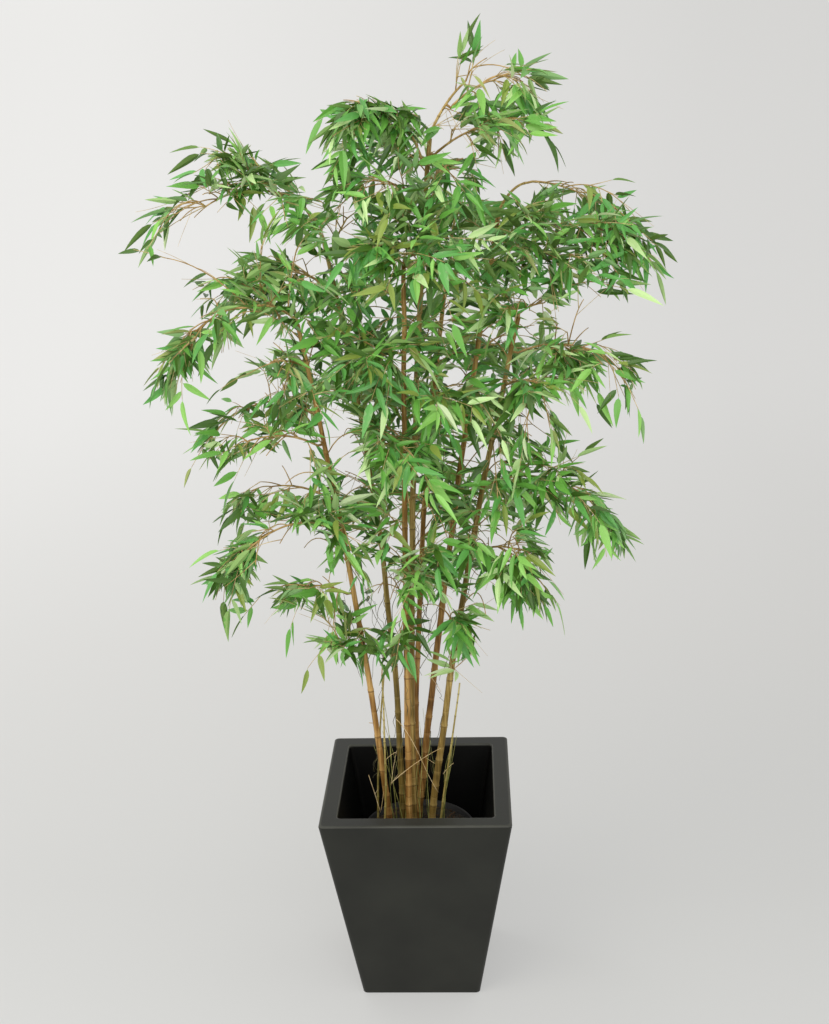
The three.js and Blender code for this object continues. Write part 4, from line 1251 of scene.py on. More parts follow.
@dataclass
class Canes:
    """The canes and shoots with their node rings, and the boughs that they bear."""

    skeleton: Skeleton
    sides: int = 20
    ridge: float = 1.15
    scar: float = 0.35
    wobble: float = 1.4  # sideways wander of a cane between its nodes
    bough_scale: float = 0.72  # of a bough to its solid, which is drawn stout
    section_pitch: float = 28.0
    steady: float = 60.0  # length at each end over which the wander fades
    ring_pitch: float = 38.0  # of a bough's small rings
    ring_width: float = 2.2

    def node_profile(self) -> tuple[Array, Array]:
        """Heights from a node's scar and how far the skin stands out there: a flared sheath edge, the scar's
        groove and the ridge over it, fading into the next length."""
        heights = np.array([-16.0, -7.0, -2.6, -1.0, 0.0, 1.2, 2.6, 4.2, 7.0, 14.0])
        swells = np.array([0.0, 0.15, 0.55, 0.7, -self.scar, 0.35, self.ridge, 0.6, 0.15, 0.0])
        return heights, swells

    def cane_shell(self, row: CaneRow, nodes: Array, seed: int, scale: float) -> Shell:
        """One cane: the radius tapers evenly from foot to head, plus the node profile about each node, and
        the centre line wanders by up to `wobble` between nodes as a sine of the height.

        Args:
            row: the cane.
            nodes: heights of its nodes over its foot.
            seed: seed of its wander.
            scale: size of its node rings.

        Returns:
            Its surface, marked with the height over the nearest node.
        """
        offsets, swells = self.node_profile()
        rise = row.rise()
        near = (nodes[:, None] + offsets * max(scale, 0.5)).ravel()
        even = np.linspace(0, rise, int(rise / self.section_pitch))
        heights = np.unique(np.clip(np.concatenate([near, even]), 0, rise).round(2))
        gap = heights[:, None] - nodes[None]
        nearest = gap[np.arange(len(heights)), np.abs(gap).argmin(1)]
        swell = scale * np.interp(nearest / max(scale, 0.5), offsets, swells)
        radii = lerp(row.foot_radius, row.head_radius, heights / rise) + swell
        draw = np.random.default_rng(seed)
        phase = draw.uniform(0, 2 * np.pi, (2, 3))
        pitch = 2 * np.pi / draw.uniform(180, 420, (2, 3))
        sway = np.sin(heights[:, None, None] * pitch + phase).sum(-1) / 3
        fade = np.clip(heights / self.steady, 0, 1) * np.clip((rise - heights) / self.steady, 0, 1)
        paths = row.curve().at(heights / rise)
        paths[:, :2] += self.wobble * sway * fade[:, None]
        return tubes(paths[None], radii[None], self.sides, nearest[None])

    def bough_shell(self, row: BranchRow) -> Shell:
        """One bough: it tapers evenly along its curve, with a small ring every `ring_pitch`."""
        point, facing = self.skeleton.root(row)
        curve = self.skeleton.branch(row, point, facing)
        share = np.linspace(0, 1, 49)
        path = np.concatenate([[point - facing * 1.5], curve.at(share)])
        run = np.concatenate([[0], np.cumsum(np.linalg.norm(np.diff(path, axis=0), axis=1))])
        gap = (run + 12) % self.ring_pitch - self.ring_pitch / 2
        taper = self.bough_scale * lerp(row.first, row.second, run / run[-1])
        radii = taper + 0.4 * np.exp(-((gap / self.ring_width) ** 2))
        return tubes(path[None], radii[None], 12, gap[None])

    def build(self) -> None:
        """Adds a bark piece for each cane, shoot and bough in place of its solid."""
        ochre = LacqueredCane("ochre", "#5f3e16", "#946c34", "#cba362").material()
        olive = LacqueredCane("olive", "#5c4a20", "#8c7238", "#c0a566").material()
        sage = LacqueredCane("sage", "#584c20", "#8a7438", "#b8a264").material()
        green = LacqueredCane("green", "#746a34", "#9c8a48", "#bfb072", scar="#5c5228").material()
        brown = LacqueredCane("brown", "#765c2c", "#a08448", "#c8ac6c").material()
        tones = (ochre, sage, ochre, olive, ochre, ochre, olive)
        for number, (row, tone) in enumerate(zip(CANES, tones)):
            nodes = node_heights(row.rise(), number)
            shell = self.cane_shell(row, nodes, number, 1.0)
            piece(f"{row.name}_bark", shell, [tone], [row.name])
        for number, row in enumerate(SHOOTS):
            nodes = np.arange(26 + 9 * number, row.rise() - 20, 52.0)
            shell = self.cane_shell(row, nodes, 20 + number, 0.5)
            piece(f"{row.name}_bark", shell, [green], [row.name])
        for row in BOUGHS:
            piece(f"{row.name}_bark", self.bough_shell(row), [brown], [row.name])


# ---- foliage ----
@dataclass
class Twig:
    """A side twig or the main stem of a mass: where it starts, its tip, and the way it points."""

    on: Array
    tip: Array
    direction: Array
    hand: int


@dataclass
class Spot:
    """A place where a spray grows: its root, direction, roll and reach, and how far apart its leaves are to
    the usual."""

    root: Array
    direction: Array
    roll: float
    reach: float
    spacing: float = 1.0


@dataclass
class Mass:
    """One mass of foliage, grown by the solids' rule."""

    row: BranchRow
    seed: int
    root: Array
    facing: Array
    curve: Arch
    leaf: float
    stem: float
    twigs: list[Twig] = field(default_factory=list)
    spots: list[Spot] = field(default_factory=list)


@dataclass
class Grower:
    """Grows each mass within its own space and clear of the limbs."""

    skeleton: Skeleton
    masses: list[Mass] = field(default_factory=list)

    def __post_init__(self) -> None:
        """Sets out every spine, then grows the masses one after another."""
        for number, row in enumerate(MASSES):
            root, facing = self.skeleton.root(row)
            curve = self.skeleton.branch(row, root, facing)
            leaf = LEAF_SHARE * row.first
            stem = max(STEM_LEAST, 1 - leaf / curve.length())
            self.masses.append(Mass(row, number + FIRST_SEED, root, facing, curve, leaf, stem))
        lines = [mass.curve.at(np.linspace(0, 1, SPINE_PIECES + 1)) for mass in self.masses]
        self.spine_starts = np.concatenate([line[:-1] for line in lines])
        self.spine_ends = np.concatenate([line[1:] for line in lines])
        self.limb_starts, self.limb_ends, self.limb_radii = self.skeleton.lines()
        for number, mass in enumerate(self.masses):
            self.grow(number, mass)

    def in_space(self, number: int, points: Array) -> bool:
        """True where every point is nearer to this mass's spine than to any other by SPACE_GAP.

        Args:
            number: the mass's number.
            points: (P, 3) points.

        Returns:
            Whether all of them are.
        """
        near = distances(points, self.spine_starts, self.spine_ends)
        near = near.reshape(len(points), -1, SPINE_PIECES).min(-1)
        own = near[:, number].copy()
        near[:, number] = np.inf
        return bool((near.min(1) > own + SPACE_GAP).all())

    def clear_of_limbs(self, points: Array) -> bool:
        """True where every point is clear of every limb."""
        return bool((distances(points, self.limb_starts, self.limb_ends) > self.limb_radii + LIMB_GAP).all())

    def grow(self, number: int, mass: Mass) -> None:
        """Grows a mass's side twigs, then the sprays at each twig's end and sides. A spray that would leave
        the space, or come near other wood or sprays, is tried again with another turn and a little
        shorter.

        Args:
            number: the mass's number.
            mass: the mass, which is given its twigs and spots.
        """
        end = mass.curve.at(mass.stem)
        ahead = mass.curve.end - end
        mass.twigs.append(Twig(mass.root, end, unit(ahead), 0))
        line = mass.curve.at(np.linspace(0, mass.stem, SPINE_PIECES + 1))
        wood = [line[:-1], line[1:]]
        count = int(mass.row.second)
        for k in range(count):
            vary = varied(mass.seed * 4096 + 4000 + k)
            share = mass.stem * (0.2 + 0.72 * (k + 0.5) / count)
            hand = 1 if k % 2 else -1
            on = mass.curve.at(share)
            turn = hand * vary(52, 14)
            direction = swung(mass.curve.tangent(share), turn, vary(-0.05, 0.6))
            tip = on + direction * mass.row.first * vary(0.62, 0.14)
            if not self.in_space(number, np.stack([(on + tip) / 2, tip])):
                continue
            if not self.clear_of_limbs(points_along(np.stack([on, tip]), LIMB_PITCH)[1:]):
                continue
            mass.twigs.append(Twig(on, tip, direction, hand))
            wood = [np.vstack([wood[0], on]), np.vstack([wood[1], tip])]
        ribs = [np.zeros((0, 3)), np.zeros((0, 3))]
        spot = 0
        for twig in mass.twigs:
            main = twig.hand == 0
            size = max(float(np.linalg.norm(ahead)), 0.8 * mass.leaf) if main else mass.leaf
            places = [(twig.tip, 0.0, size)]
            if main:
                back = twig.tip - mass.curve.tangent(mass.stem) * LEAF_SINK
                places += [(back, -44.0, 0.94 * size), (back, 44.0, 0.94 * size)]
            else:
                for share, turn in ((0.8, -46.0 * twig.hand), (0.5, 48.0 * twig.hand)):
                    places.append((lerp(twig.on, twig.tip, share), turn, 0.94 * size))
            for root, turn, length in places:
                spot += 1
                found = self.fit(number, mass, spot, root, twig.direction, turn, length, wood, ribs)
                if found:
                    mass.spots.append(found)

    def fit(
        self,
        number: int,
        mass: Mass,
        spot: int,
        root: Array,
        forward: Array,
        turn: float,
        length: float,
        wood: list[Array],
        ribs: list[Array],
    ) -> Spot | None:
        """Tries a spray at a root until it fits.

        Args:
            number: the mass's number.
            mass: the mass.
            spot: the spray's number in its mass.
            root: where it starts.
            forward: the way that its twig points.
            turn: how far it is swung aside.
            length: its reach before it varies.
            wood: starts and ends of the mass's twigs.
            ribs: starts and ends of the sprays that are there, to which this one is added.

        Returns:
            The spray's place, or nothing.
        """
        for attempt in range(LEAF_TRIES):
            vary = varied(mass.seed * 4096 + spot * 16 + attempt)
            aside = turn + vary(0, 8 + 7 * attempt)
            direction = swung(forward, aside, vary(-0.25, 0.65))
            size = length * vary(1, 0.1) * (1 - 0.05 * attempt)
            roll = vary(*LEAF_ROLL)
            roll *= math.copysign(1, vary(0, 1))
            across = spun(unit(np.cross(UP, direction)), direction, roll)
            face = np.cross(direction, across)
            middle = root + direction * LEAF_WIDEST * size
            tip = root + direction * size
            half = across * LEAF_WIDTH * size / 2
            low = face * 0.867
            widest = np.stack([middle - face * 1.733, middle + half + low, middle - half + low])
            blade = root + direction * (np.array([0.3, 0.5, 0.75, 1.0]) * size)[:, None]
            edges = np.concatenate([lerp(widest, tip, 0.3), lerp(widest, tip, 0.65)])
            tested = np.concatenate([[root + direction * 0.18 * size, tip], widest, edges])
            if not self.in_space(number, tested):
                continue
            inner = root + direction * 0.1 * size
            outline = [points_along(np.stack([inner, corner, tip]), LIMB_PITCH) for corner in widest]
            if not self.clear_of_limbs(np.concatenate(outline)):
                continue
            if distances(blade, *wood).min() < WOOD_GAP:
                continue
            if len(ribs[0]) and distances(blade, *ribs).min() < LEAF_GAP:
                continue
            ribs[0] = np.vstack([ribs[0], blade[0]])
            ribs[1] = np.vstack([ribs[1], blade[3]])
            return Spot(root, direction, roll, size)
        return None


@dataclass
class LeafShape:
    """A narrow leaf of folded cloth: a short stalk, a rounded base, its widest place at a third and a long
    point."""

    stations: tuple[float, ...] = (0.0, 0.05, 0.13, 0.27, 0.45, 0.64, 0.83)
    halves: tuple[float, ...] = (0.045, 0.055, 0.66, 1.0, 0.95, 0.7, 0.37)
    thickness: float = 0.5
    sides: int = 4

    def vertices(self) -> int:
        """How many vertices one leaf has."""
        return self.sides * len(self.stations) + 1

    def shell(self, root: Array, run: Array, face: Array, size: Array, draw: np.random.Generator) -> Shell:
        """Many leaves at once. A station's middle is root + size (t run - bend t^2 face); its edges stand
        half a width to each side, raised by the fold; the rib is a shallow keel under the fold.

        Args:
            root: (N, 3) roots.
            run: (N, 3) unit directions.
            face: (N, 3) unit directions that the upper sides face.
            size: (N,) lengths.
            draw: the stream for fold, bend, twist and width.

        Returns:
            The leaves, with finish 0 on top and 1 underneath.
        """
        many = len(root)
        across = unit(np.cross(face, run))
        face = np.cross(run, across)
        t = np.array(self.stations)
        half = size * draw.uniform(0.088, 0.122, many)
        fold = np.radians(draw.uniform(10, 30, many))
        bend = draw.uniform(0.02, 0.2, many)
        aside = draw.uniform(-0.09, 0.09, many)
        twist = np.radians(draw.uniform(-34, 34, many))
        middle = root[:, None] + (size[:, None] * t)[..., None] * run[:, None]
        middle = middle - (size * bend)[:, None, None] * (t**2)[:, None] * face[:, None]
        middle = middle + (size * aside)[:, None, None] * (t**2)[:, None] * across[:, None]
        turn = (twist[:, None] * t)[..., None]
        side = across[:, None] * np.cos(turn) + face[:, None] * np.sin(turn)
        up = face[:, None] * np.cos(turn) - across[:, None] * np.sin(turn)
        wide = (half[:, None] * np.array(self.halves))[..., None]
        lift = np.sin(fold)[:, None, None] * wide
        flat = np.cos(fold)[:, None, None] * wide
        left, right = middle - side * flat + up * lift, middle + side * flat + up * lift
        keel = middle - up * self.thickness
        rings = np.stack([left, keel, right, middle + up * 0.1], axis=2)
        tip = root + size[:, None] * (run - bend[:, None] * face + aside[:, None] * across)
        points = np.concatenate([rings.reshape(many, -1, 3), tip[:, None]], axis=1)
        each, count = self.vertices(), len(t)
        last = self.sides * (count - 1)
        ends = np.array([[0, 3, 2], [0, 2, 1]] + [[last + k, last + (k + 1) % 4, each - 1] for k in range(4)])
        start = (np.arange(many) * each)[:, None, None]
        quad_finish = np.tile([1, 1, 0, 0], count - 1)
        tri_finish = np.array([1, 1, 1, 1, 0, 0])
        return Shell(
            points.reshape(-1, 3),
            (ring_quads(count, self.sides)[None] + start).reshape(-1, 4),
            (ends[None] + start).reshape(-1, 3),
            np.concatenate([np.tile(quad_finish, many), np.tile(tri_finish, many)]),
        )


@dataclass
class Foliage:
    """Stems, twigs, fine twigs and leaves of every mass."""

    grower: Grower
    leaf_length: float = 60.0
    pitch: float = 10.3  # along a fine twig from one leaf to the next
    twiglet_pitch: float = 26.0  # along stems and side twigs from one short twig to the next
    lowest_twig: float = 850.0  # height of the lowest twig on a cane, but for those below
    lowest_twigs: tuple[tuple[str, float], ...] = (
        ("cane_left", 985.0),
        ("cane_left_back", 960.0),
        ("cane_right", 765.0),
        ("cane_right_back", 800.0),
    )
    cane_pitch: float = 58.0
    open_spacing: float = 1.6  # of the leaves of the most open masses
    outer_spacing: float = 1.5  # of the leaves `outer_reach` from the middle
    hairs: int = 260
    middle_scale: float = 1.1  # of leaves near the canes
    outer_scale: float = 0.98  # of leaves `outer_reach` from the middle
    outer_reach: float = 430.0
    fill_least: float = 70.0
    fill_short: float = 45.0
    crowd_reach: float = 26.0  # a twig of FILLS goes up to crowd_cost further to start this clear of another
    crowd_cost: float = 45.0
    fill_places: Places = ((1.0, 0.0), (0.84, 46.0), (0.68, -48.0), (0.5, 50.0), (0.34, -52.0))
    cane_places: Places = ((1.0, 0), (0.8, 46), (0.62, -48), (0.42, 50), (0.25, -54))
    fill_rise: float = 0.16
    outer_cost: float = 0.6  # for each millimetre that the wood stands further out
    fewest_leaves: int = 2  # a fine twig that would keep fewer is left out
    fewest_sprays: int = 1  # and so is a twig of FILLS
    lowest_wood: float = 700.0  # height under which no twig of FILLS starts
    limits: tuple[tuple[float, ...], ...] = ((-530, -352, 0), (562, 416, 2040))
    seed: int = 77
    shape: LeafShape = field(default_factory=LeafShape)

    def stems(self) -> Shell:
        """The main stem of each mass, from inside its limb along its spine, with a slight ring at each
        joint."""
        share = np.linspace(0, 1, 26)
        paths, radii = [], []
        for mass in self.grower.masses:
            line = mass.curve.at(share * mass.stem)
            paths.append(np.concatenate([[mass.root - mass.facing * 1.5], line]))
            slim = 2.5 if mass.row.first > 70 else 1.9
            ring = 1 + 0.16 * (np.arange(27) % 5 == 3)
            radii.append(lerp(slim, 0.56 * slim, np.linspace(0, 1, 27)) * ring)
        return tubes(np.stack(paths), np.stack(radii), 6)

    def side_twigs(self) -> Shell:
        """The side twigs, each a shallow arch over the straight line from its root to its tip."""
        twigs = [twig for mass in self.grower.masses for twig in mass.twigs if twig.hand]
        on, tip = np.stack([twig.on for twig in twigs]), np.stack([twig.tip for twig in twigs])
        share = np.linspace(0, 1, 10)[None, :, None]
        length = np.linalg.norm(tip - on, axis=1)[:, None, None]
        paths = on[:, None] + (tip - on)[:, None] * share + UP * 0.05 * length * 4 * share * (1 - share)
        return tubes(paths, lerp(1.35, 0.85, share[..., 0]), 5)

    def extra_spots(self) -> list[Spot]:
        """Short twigs along every stem and side twig, `twiglet_pitch` apart, to the left and the right in
        turn. A mass in OPEN_MASSES keeps only that share of them, so that light shows between the layers."""
        found = []
        for mass in self.grower.masses:
            draw = np.random.default_rng(self.seed + mass.seed)
            wood = [(mass.curve.at(np.linspace(0.12, 1, 41) * mass.stem), 0.9)]
            outer = np.linspace(0.2, 1, 9)[:, None]
            wood += [(lerp(twig.on, twig.tip, outer), 0.8) for twig in mass.twigs[1:]]
            bough = self.grower.skeleton.limbs[mass.row.limb]
            if bough.foot_height is None and mass.row.at == 1:
                wood.append((bough.centres, 1.0))
            for line, scale in wood:
                run = np.concatenate([[0], np.cumsum(np.linalg.norm(np.diff(line, axis=0), axis=1))])
                for number, along in enumerate(np.arange(0, run[-1], self.twiglet_pitch)):
                    hand = 1 if number % 2 else -1
                    if draw.uniform() > OPEN_MASSES.get(mass.row.name, 1.0) and scale < 1:
                        continue
                    on = np.array([np.interp(along, run, line[:, axis]) for axis in range(3)])
                    ahead = unit(line[min(np.searchsorted(run, along) + 1, len(line) - 1)] - on)
                    direction = swung(ahead, hand * draw.uniform(32, 72), draw.uniform(-0.35, 0.75))
                    reach = scale * draw.uniform(66, 104)
                    found.append(Spot(on, direction, draw.uniform(-70, 70), reach))
        return found

    def cane_twigs(self) -> tuple[Array, list[Spot]]:
        """Twigs that grow from the canes themselves between the masses: each arches up and out by turns of
        137 degrees and bears short twigs at its end and to both sides.

        Returns:
            (N, 10, 3) centre lines, and the places of their short twigs.
        """
        draw = np.random.default_rng(self.seed + 5)
        share = np.linspace(0, 1, 10)[:, None]
        paths, found = [], []
        for number, row in enumerate(CANES):
            limb = self.grower.skeleton.limbs[row.name]
            bearing = draw.uniform(0, 360)
            lowest = dict(self.lowest_twigs).get(row.name, self.lowest_twig)
            for height in np.arange(lowest + 9 * number, row.head[2] - 20, self.cane_pitch):
                bearing += 137.5 + draw.uniform(-20, 20)
                centre, radius, axis = limb.place(limb.share(height))
                out = heading(bearing)
                length = draw.uniform(85, 165)
                start = centre + out * (radius - 1)
                control = start + out * 0.45 * length + axis * draw.uniform(0.3, 0.75) * length
                end = start + out * length + UP * draw.uniform(-0.15, 0.5) * length
                arch = Arch(start, control, end)
                paths.append(arch.at(share[:, 0]))
                for place, turn in self.cane_places:
                    ahead = arch.tangent(place)
                    direction = swung(ahead, turn + draw.uniform(-12, 12), draw.uniform(-0.35, 0.55))
                    roll = draw.uniform(-70, 70)
                    found.append(Spot(arch.at(place), direction, roll, draw.uniform(66, 104)))
        return np.stack(paths), found

    def fill_twigs(self) -> tuple[Array, list[Spot]]:
        """Twigs to the places in FILLS: each leaves the nearest wood that is at least `fill_least` away and
        further in, rises as an arch and ends `fill_short` before the place, with short twigs at its end and
        to both sides.

        Returns:
            (N, 10, 3) centre lines, and the places of their short twigs.
        """
        draw = np.random.default_rng(self.seed + 13)
        wood = [mass.curve.at(np.linspace(0.1, mass.stem, 30)) for mass in self.grower.masses]
        limbs = self.grower.skeleton.limbs.values()
        wood += [limb.centres[limb.centres[:, 2] > self.lowest_wood] for limb in limbs]
        wood = np.concatenate(wood)
        share = np.linspace(0, 1, 10)
        paths, found = [], []
        crowd = np.zeros(len(wood))
        for middle in FILLS:
            far = np.linalg.norm(wood - middle, axis=1)
            outer = np.hypot(wood[:, 0], wood[:, 1]) - math.hypot(middle[0], middle[1])
            cost = far + self.outer_cost * np.maximum(outer, 0) + crowd
            start = wood[np.where(far < self.fill_least, np.inf, cost).argmin()]
            crowd += self.crowd_cost * (np.linalg.norm(wood - start, axis=1) < self.crowd_reach)
            run = middle - start
            length = float(np.linalg.norm(run))
            end = middle - run / length * self.fill_short
            arch = Arch(start, (start + end) / 2 + UP * self.fill_rise * length, end)
            paths.append(arch.at(share))
            for place, turn in self.fill_places:
                turn += draw.uniform(-14, 14)
                direction = swung(arch.tangent(place), turn, draw.uniform(-0.45, 0.3))
                roll = draw.uniform(-60, 60)
                found.append(Spot(arch.at(place), direction, roll, draw.uniform(66, 100)))
        return np.stack(paths), found

    def in_clearing(self, points: Array, scale: float) -> Array:
        """Which points lie in a clearing, or before a cane in a window, each grown by `scale`. A point is
        carried along its line from EYE to the plane y = 0, where it is inside when its offset over the
        half-sizes is less than one long.

        Args:
            points: (P, 3) points.
            scale: of the half-sizes.

        Returns:
            (P,) truth values.
        """
        eye = np.array(EYE)
        seen = eye + (points - eye) * (-eye[1] / (points[:, 1:2] - eye[1]))
        place = np.concatenate([CLEARINGS, WINDOWS])
        offset = (seen[:, None, [0, 2]] - place[:, :2]) / (scale * place[:, 2:])
        inside = (offset**2).sum(-1) < 1
        inside[:, len(CLEARINGS) :] &= points[:, 1:2] < WINDOW_DEPTH
        return inside.any(1)

    def sprays(self, spots: list[Spot]) -> tuple[Array, Shell, Array]:
        """A spray at each spot: a fine twig along its direction, sagging at its end, with leaves to each side
        in turn and one at its tip. The side leaves swing out by 64 degrees at the foot and 36 at the tip.

        Args:
            spots: the sprays' places.

        Returns:
            (N, 8, 3) centre lines of the fine twigs, all the leaves, and each leaf's spray number.
        """
        draw = np.random.default_rng(self.seed)
        root = np.stack([spot.root for spot in spots])
        run = np.stack([spot.direction for spot in spots])
        roll = np.array([spot.roll for spot in spots])
        reach = np.array([spot.reach for spot in spots])
        many = len(spots)
        length = np.maximum(reach - 0.62 * self.leaf_length, 24)
        sag = draw.uniform(-0.04, 0.2, many)
        share = np.linspace(0, 1, 8)
        across = spun(unit(np.cross(np.broadcast_to(UP, run.shape), run)), run, roll * 0.75)
        face = np.cross(run, across)
        bend = -sag[:, None] * UP + draw.uniform(-0.1, 0.1, many)[:, None] * across

        def place(which: Array, t: Array) -> tuple[Array, Array]:
            """The point and the direction of fine twig `which` at a share of its length."""
            gone = run[which] * t[:, None] + bend[which] * (t**2)[:, None]
            return root[which] + length[which, None] * gone, unit(run[which] + 2 * bend[which] * t[:, None])

        every, t = np.repeat(np.arange(many), len(share)), np.tile(share, many)
        paths = place(every, t)[0].reshape(many, -1, 3)

        outwards = np.clip(np.hypot(root[:, 0], root[:, 1]) / self.outer_reach, 0, 1)
        spacing = np.array([spot.spacing for spot in spots])
        pitch = self.pitch * lerp(1.0, self.outer_spacing, outwards) * spacing
        counts = np.clip(np.round(length / pitch).astype(int) + 1, 3, 10)
        owner = np.repeat(np.arange(many), counts)
        order = np.arange(len(owner)) - np.repeat(np.cumsum(counts) - counts, counts)
        last = order == counts[owner] - 1
        t = np.where(last, 1.0, 0.12 + 0.86 * order / np.maximum(counts[owner] - 1, 1))
        point, ahead = place(owner, t)
        hand = np.where(order % 2 == 0, 1.0, -1.0)
        total = len(owner)
        angle = np.where(last, 0.0, hand * lerp(64, 36, t)) + draw.normal(0, 10, total)
        direction = spun(ahead, face[owner], angle)
        droop = UP * draw.normal(0.14, 0.2, total)[:, None]
        tilt = face[owner] * draw.normal(0, 0.15, total)[:, None]
        direction = unit(direction - droop + tilt)
        leaf_face = spun(face[owner], direction, draw.normal(0, 30, total))
        outwards = np.clip(np.hypot(point[:, 0], point[:, 1]) / self.outer_reach, 0, 1)
        size = self.leaf_length * lerp(0.86, 1.04, t) * draw.uniform(0.66, 1.26, total)
        size = size * lerp(self.middle_scale, self.outer_scale, outwards)
        leaves = self.shape.shell(point, direction, leaf_face, size, draw)
        return paths, leaves, owner

    def hair_shell(self, spots: list[Spot]) -> Shell:
        """Hair-thin bare tips that stand out past the leaves: a shallow arch from a short twig's root through
        its tip and on for a third of its reach.

        Args:
            spots: the places of all short twigs.

        Returns:
            The surface of the tips.
        """
        draw = np.random.default_rng(self.seed + 9)
        chosen = [spots[k] for k in draw.choice(len(spots), self.hairs, replace=False)]
        share = np.linspace(0, 1, 9)
        root = np.stack([spot.root for spot in chosen])[:, None]
        run = np.stack([spot.direction for spot in chosen])
        run = unit(run + draw.normal(0, 0.2, (self.hairs, 3)))[:, None]
        reach = np.array([spot.reach for spot in chosen])[:, None, None]
        reach = reach * draw.uniform(0.75, 1.15, (self.hairs, 1, 1))
        bow = draw.normal(0, 0.1, (self.hairs, 1, 3)) * reach
        paths = root + run * reach * share[:, None] + bow * (share * share)[:, None]
        return tubes(paths, lerp(0.6, 0.28, share), 4)

    def clear(self, leaves: Shell) -> Array:
        """Which leaves keep clear of the canes, shoots and boughs, from all their vertices but the
        stalks'.

        Args:
            leaves: all the leaves.

        Returns:
            (N,) truth values.
        """
        each = self.shape.vertices()
        points = leaves.points.reshape(-1, each, 3)[:, 8:]
        starts, ends, widest = self.grower.skeleton.lines()
        kept = np.ones(len(points), bool)
        for start, end, radius in zip(starts, ends, widest):
            gap = distances(points.reshape(-1, 3), start[None], end[None])[:, 0]
            kept &= (gap > radius + 0.8).reshape(len(points), -1).all(1)
        kept &= ((points > self.limits[0]) & (points < self.limits[1])).all((1, 2))
        return kept & ~self.in_clearing(points.mean(1), 1.0)

    def build(self) -> None:
        """Adds stems, twigs and the leaves of each tint, which stand for the masses' solids."""
        straw = WrappedTwig("straw", "#94743c", "#caa86c").material()
        tan = WrappedTwig("tan", "#ac8c54", "#dcc690").material()
        names = [mass.row.name for mass in self.grower.masses]
        paths, more_spots = self.cane_twigs()
        radii = lerp(1.4, 0.85, np.linspace(0, 1, paths.shape[1]))
        wood = [self.stems(), self.side_twigs(), tubes(paths, radii, 5)]
        filled, fill_spots = self.fill_twigs()
        for mass in self.grower.masses:
            for spot in mass.spots:
                spot.spacing = lerp(self.open_spacing, 1.0, OPEN_MASSES.get(mass.row.name, 1.0))
        spots = [spot for mass in self.grower.masses for spot in mass.spots]
        LOG.info("sprays by the solids' rule: %d", len(spots))
        spots += self.extra_spots() + more_spots
        middles = np.stack([spot.root + 0.6 * spot.reach * spot.direction for spot in spots])
        spots = [spot for spot, out in zip(spots, self.in_clearing(middles, 1.1)) if not out] + fill_spots
        LOG.info("sprays in all: %d", len(spots))
        paths, leaves, owner = self.sprays(spots)
        kept = self.clear(leaves)
        leafy = np.bincount(owner, kept, len(spots)) >= self.fewest_leaves
        on_fills = leafy[-len(fill_spots) :].reshape(len(filled), -1)
        on_fills &= on_fills.sum(1, keepdims=True) >= self.fewest_sprays
        filled = filled[on_fills.any(1)]
        wood.append(tubes(filled, radii, 5))
        piece("stems", joined(wood), [straw], names)
        paths, kept = paths[leafy], kept & leafy[owner]
        slim = lerp(0.95, 0.5, np.linspace(0, 1, paths.shape[1]))
        piece("fine_twigs", joined([tubes(paths, slim, 4), self.hair_shell(spots)]), [tan])
        LOG.info("leaves: %d, of which %d keep clear of the limbs", len(kept), kept.sum())
        draw = np.random.default_rng(self.seed + 1)
        tints = list(LeafTint)
        shares = np.array([tint.value.share for tint in tints])
        shares /= shares.sum()
        of_spray = draw.choice(len(tints), len(spots), p=shares)
        alike = draw.uniform(0, 1, len(owner)) < 0.7
        of_leaf = np.where(alike, of_spray[owner], draw.choice(len(tints), len(owner), p=shares))
        for number, tint in enumerate(tints):
            self.leaf_piece(tint.value, leaves, kept & (of_leaf == number))

    def leaf_piece(self, cloth: LeafCloth, leaves: Shell, chosen: Array) -> None:
        """Adds the chosen leaves as one piece of one tint.

        Args:
            cloth: the finish.
            leaves: all the leaves.
            chosen: (N,) which of them are of this tint.
        """
        each = self.shape.vertices()
        many = int(chosen.sum())
        quads_each = len(leaves.quads) // len(chosen)
        tris_each = len(leaves.tris) // len(chosen)
        first = (np.flatnonzero(chosen) - np.arange(many))[:, None, None] * each
        quads = leaves.quads.reshape(-1, quads_each, 4)[chosen] - first
        tris = leaves.tris.reshape(-1, tris_each, 3)[chosen] - first
        split = len(leaves.quads)
        quad_finish = leaves.finish[:split].reshape(-1, quads_each)[chosen].ravel()
        tri_finish = leaves.finish[split:].reshape(-1, tris_each)[chosen].ravel()
        points = leaves.points.reshape(-1, each, 3)[chosen].reshape(-1, 3)
        finish = np.concatenate([quad_finish, tri_finish])
        shell = Shell(points, quads.reshape(-1, 4), tris.reshape(-1, 3), finish)
        piece(f"leaves_{cloth.name}", shell, cloth.materials(), sharp_lengthwise=each)


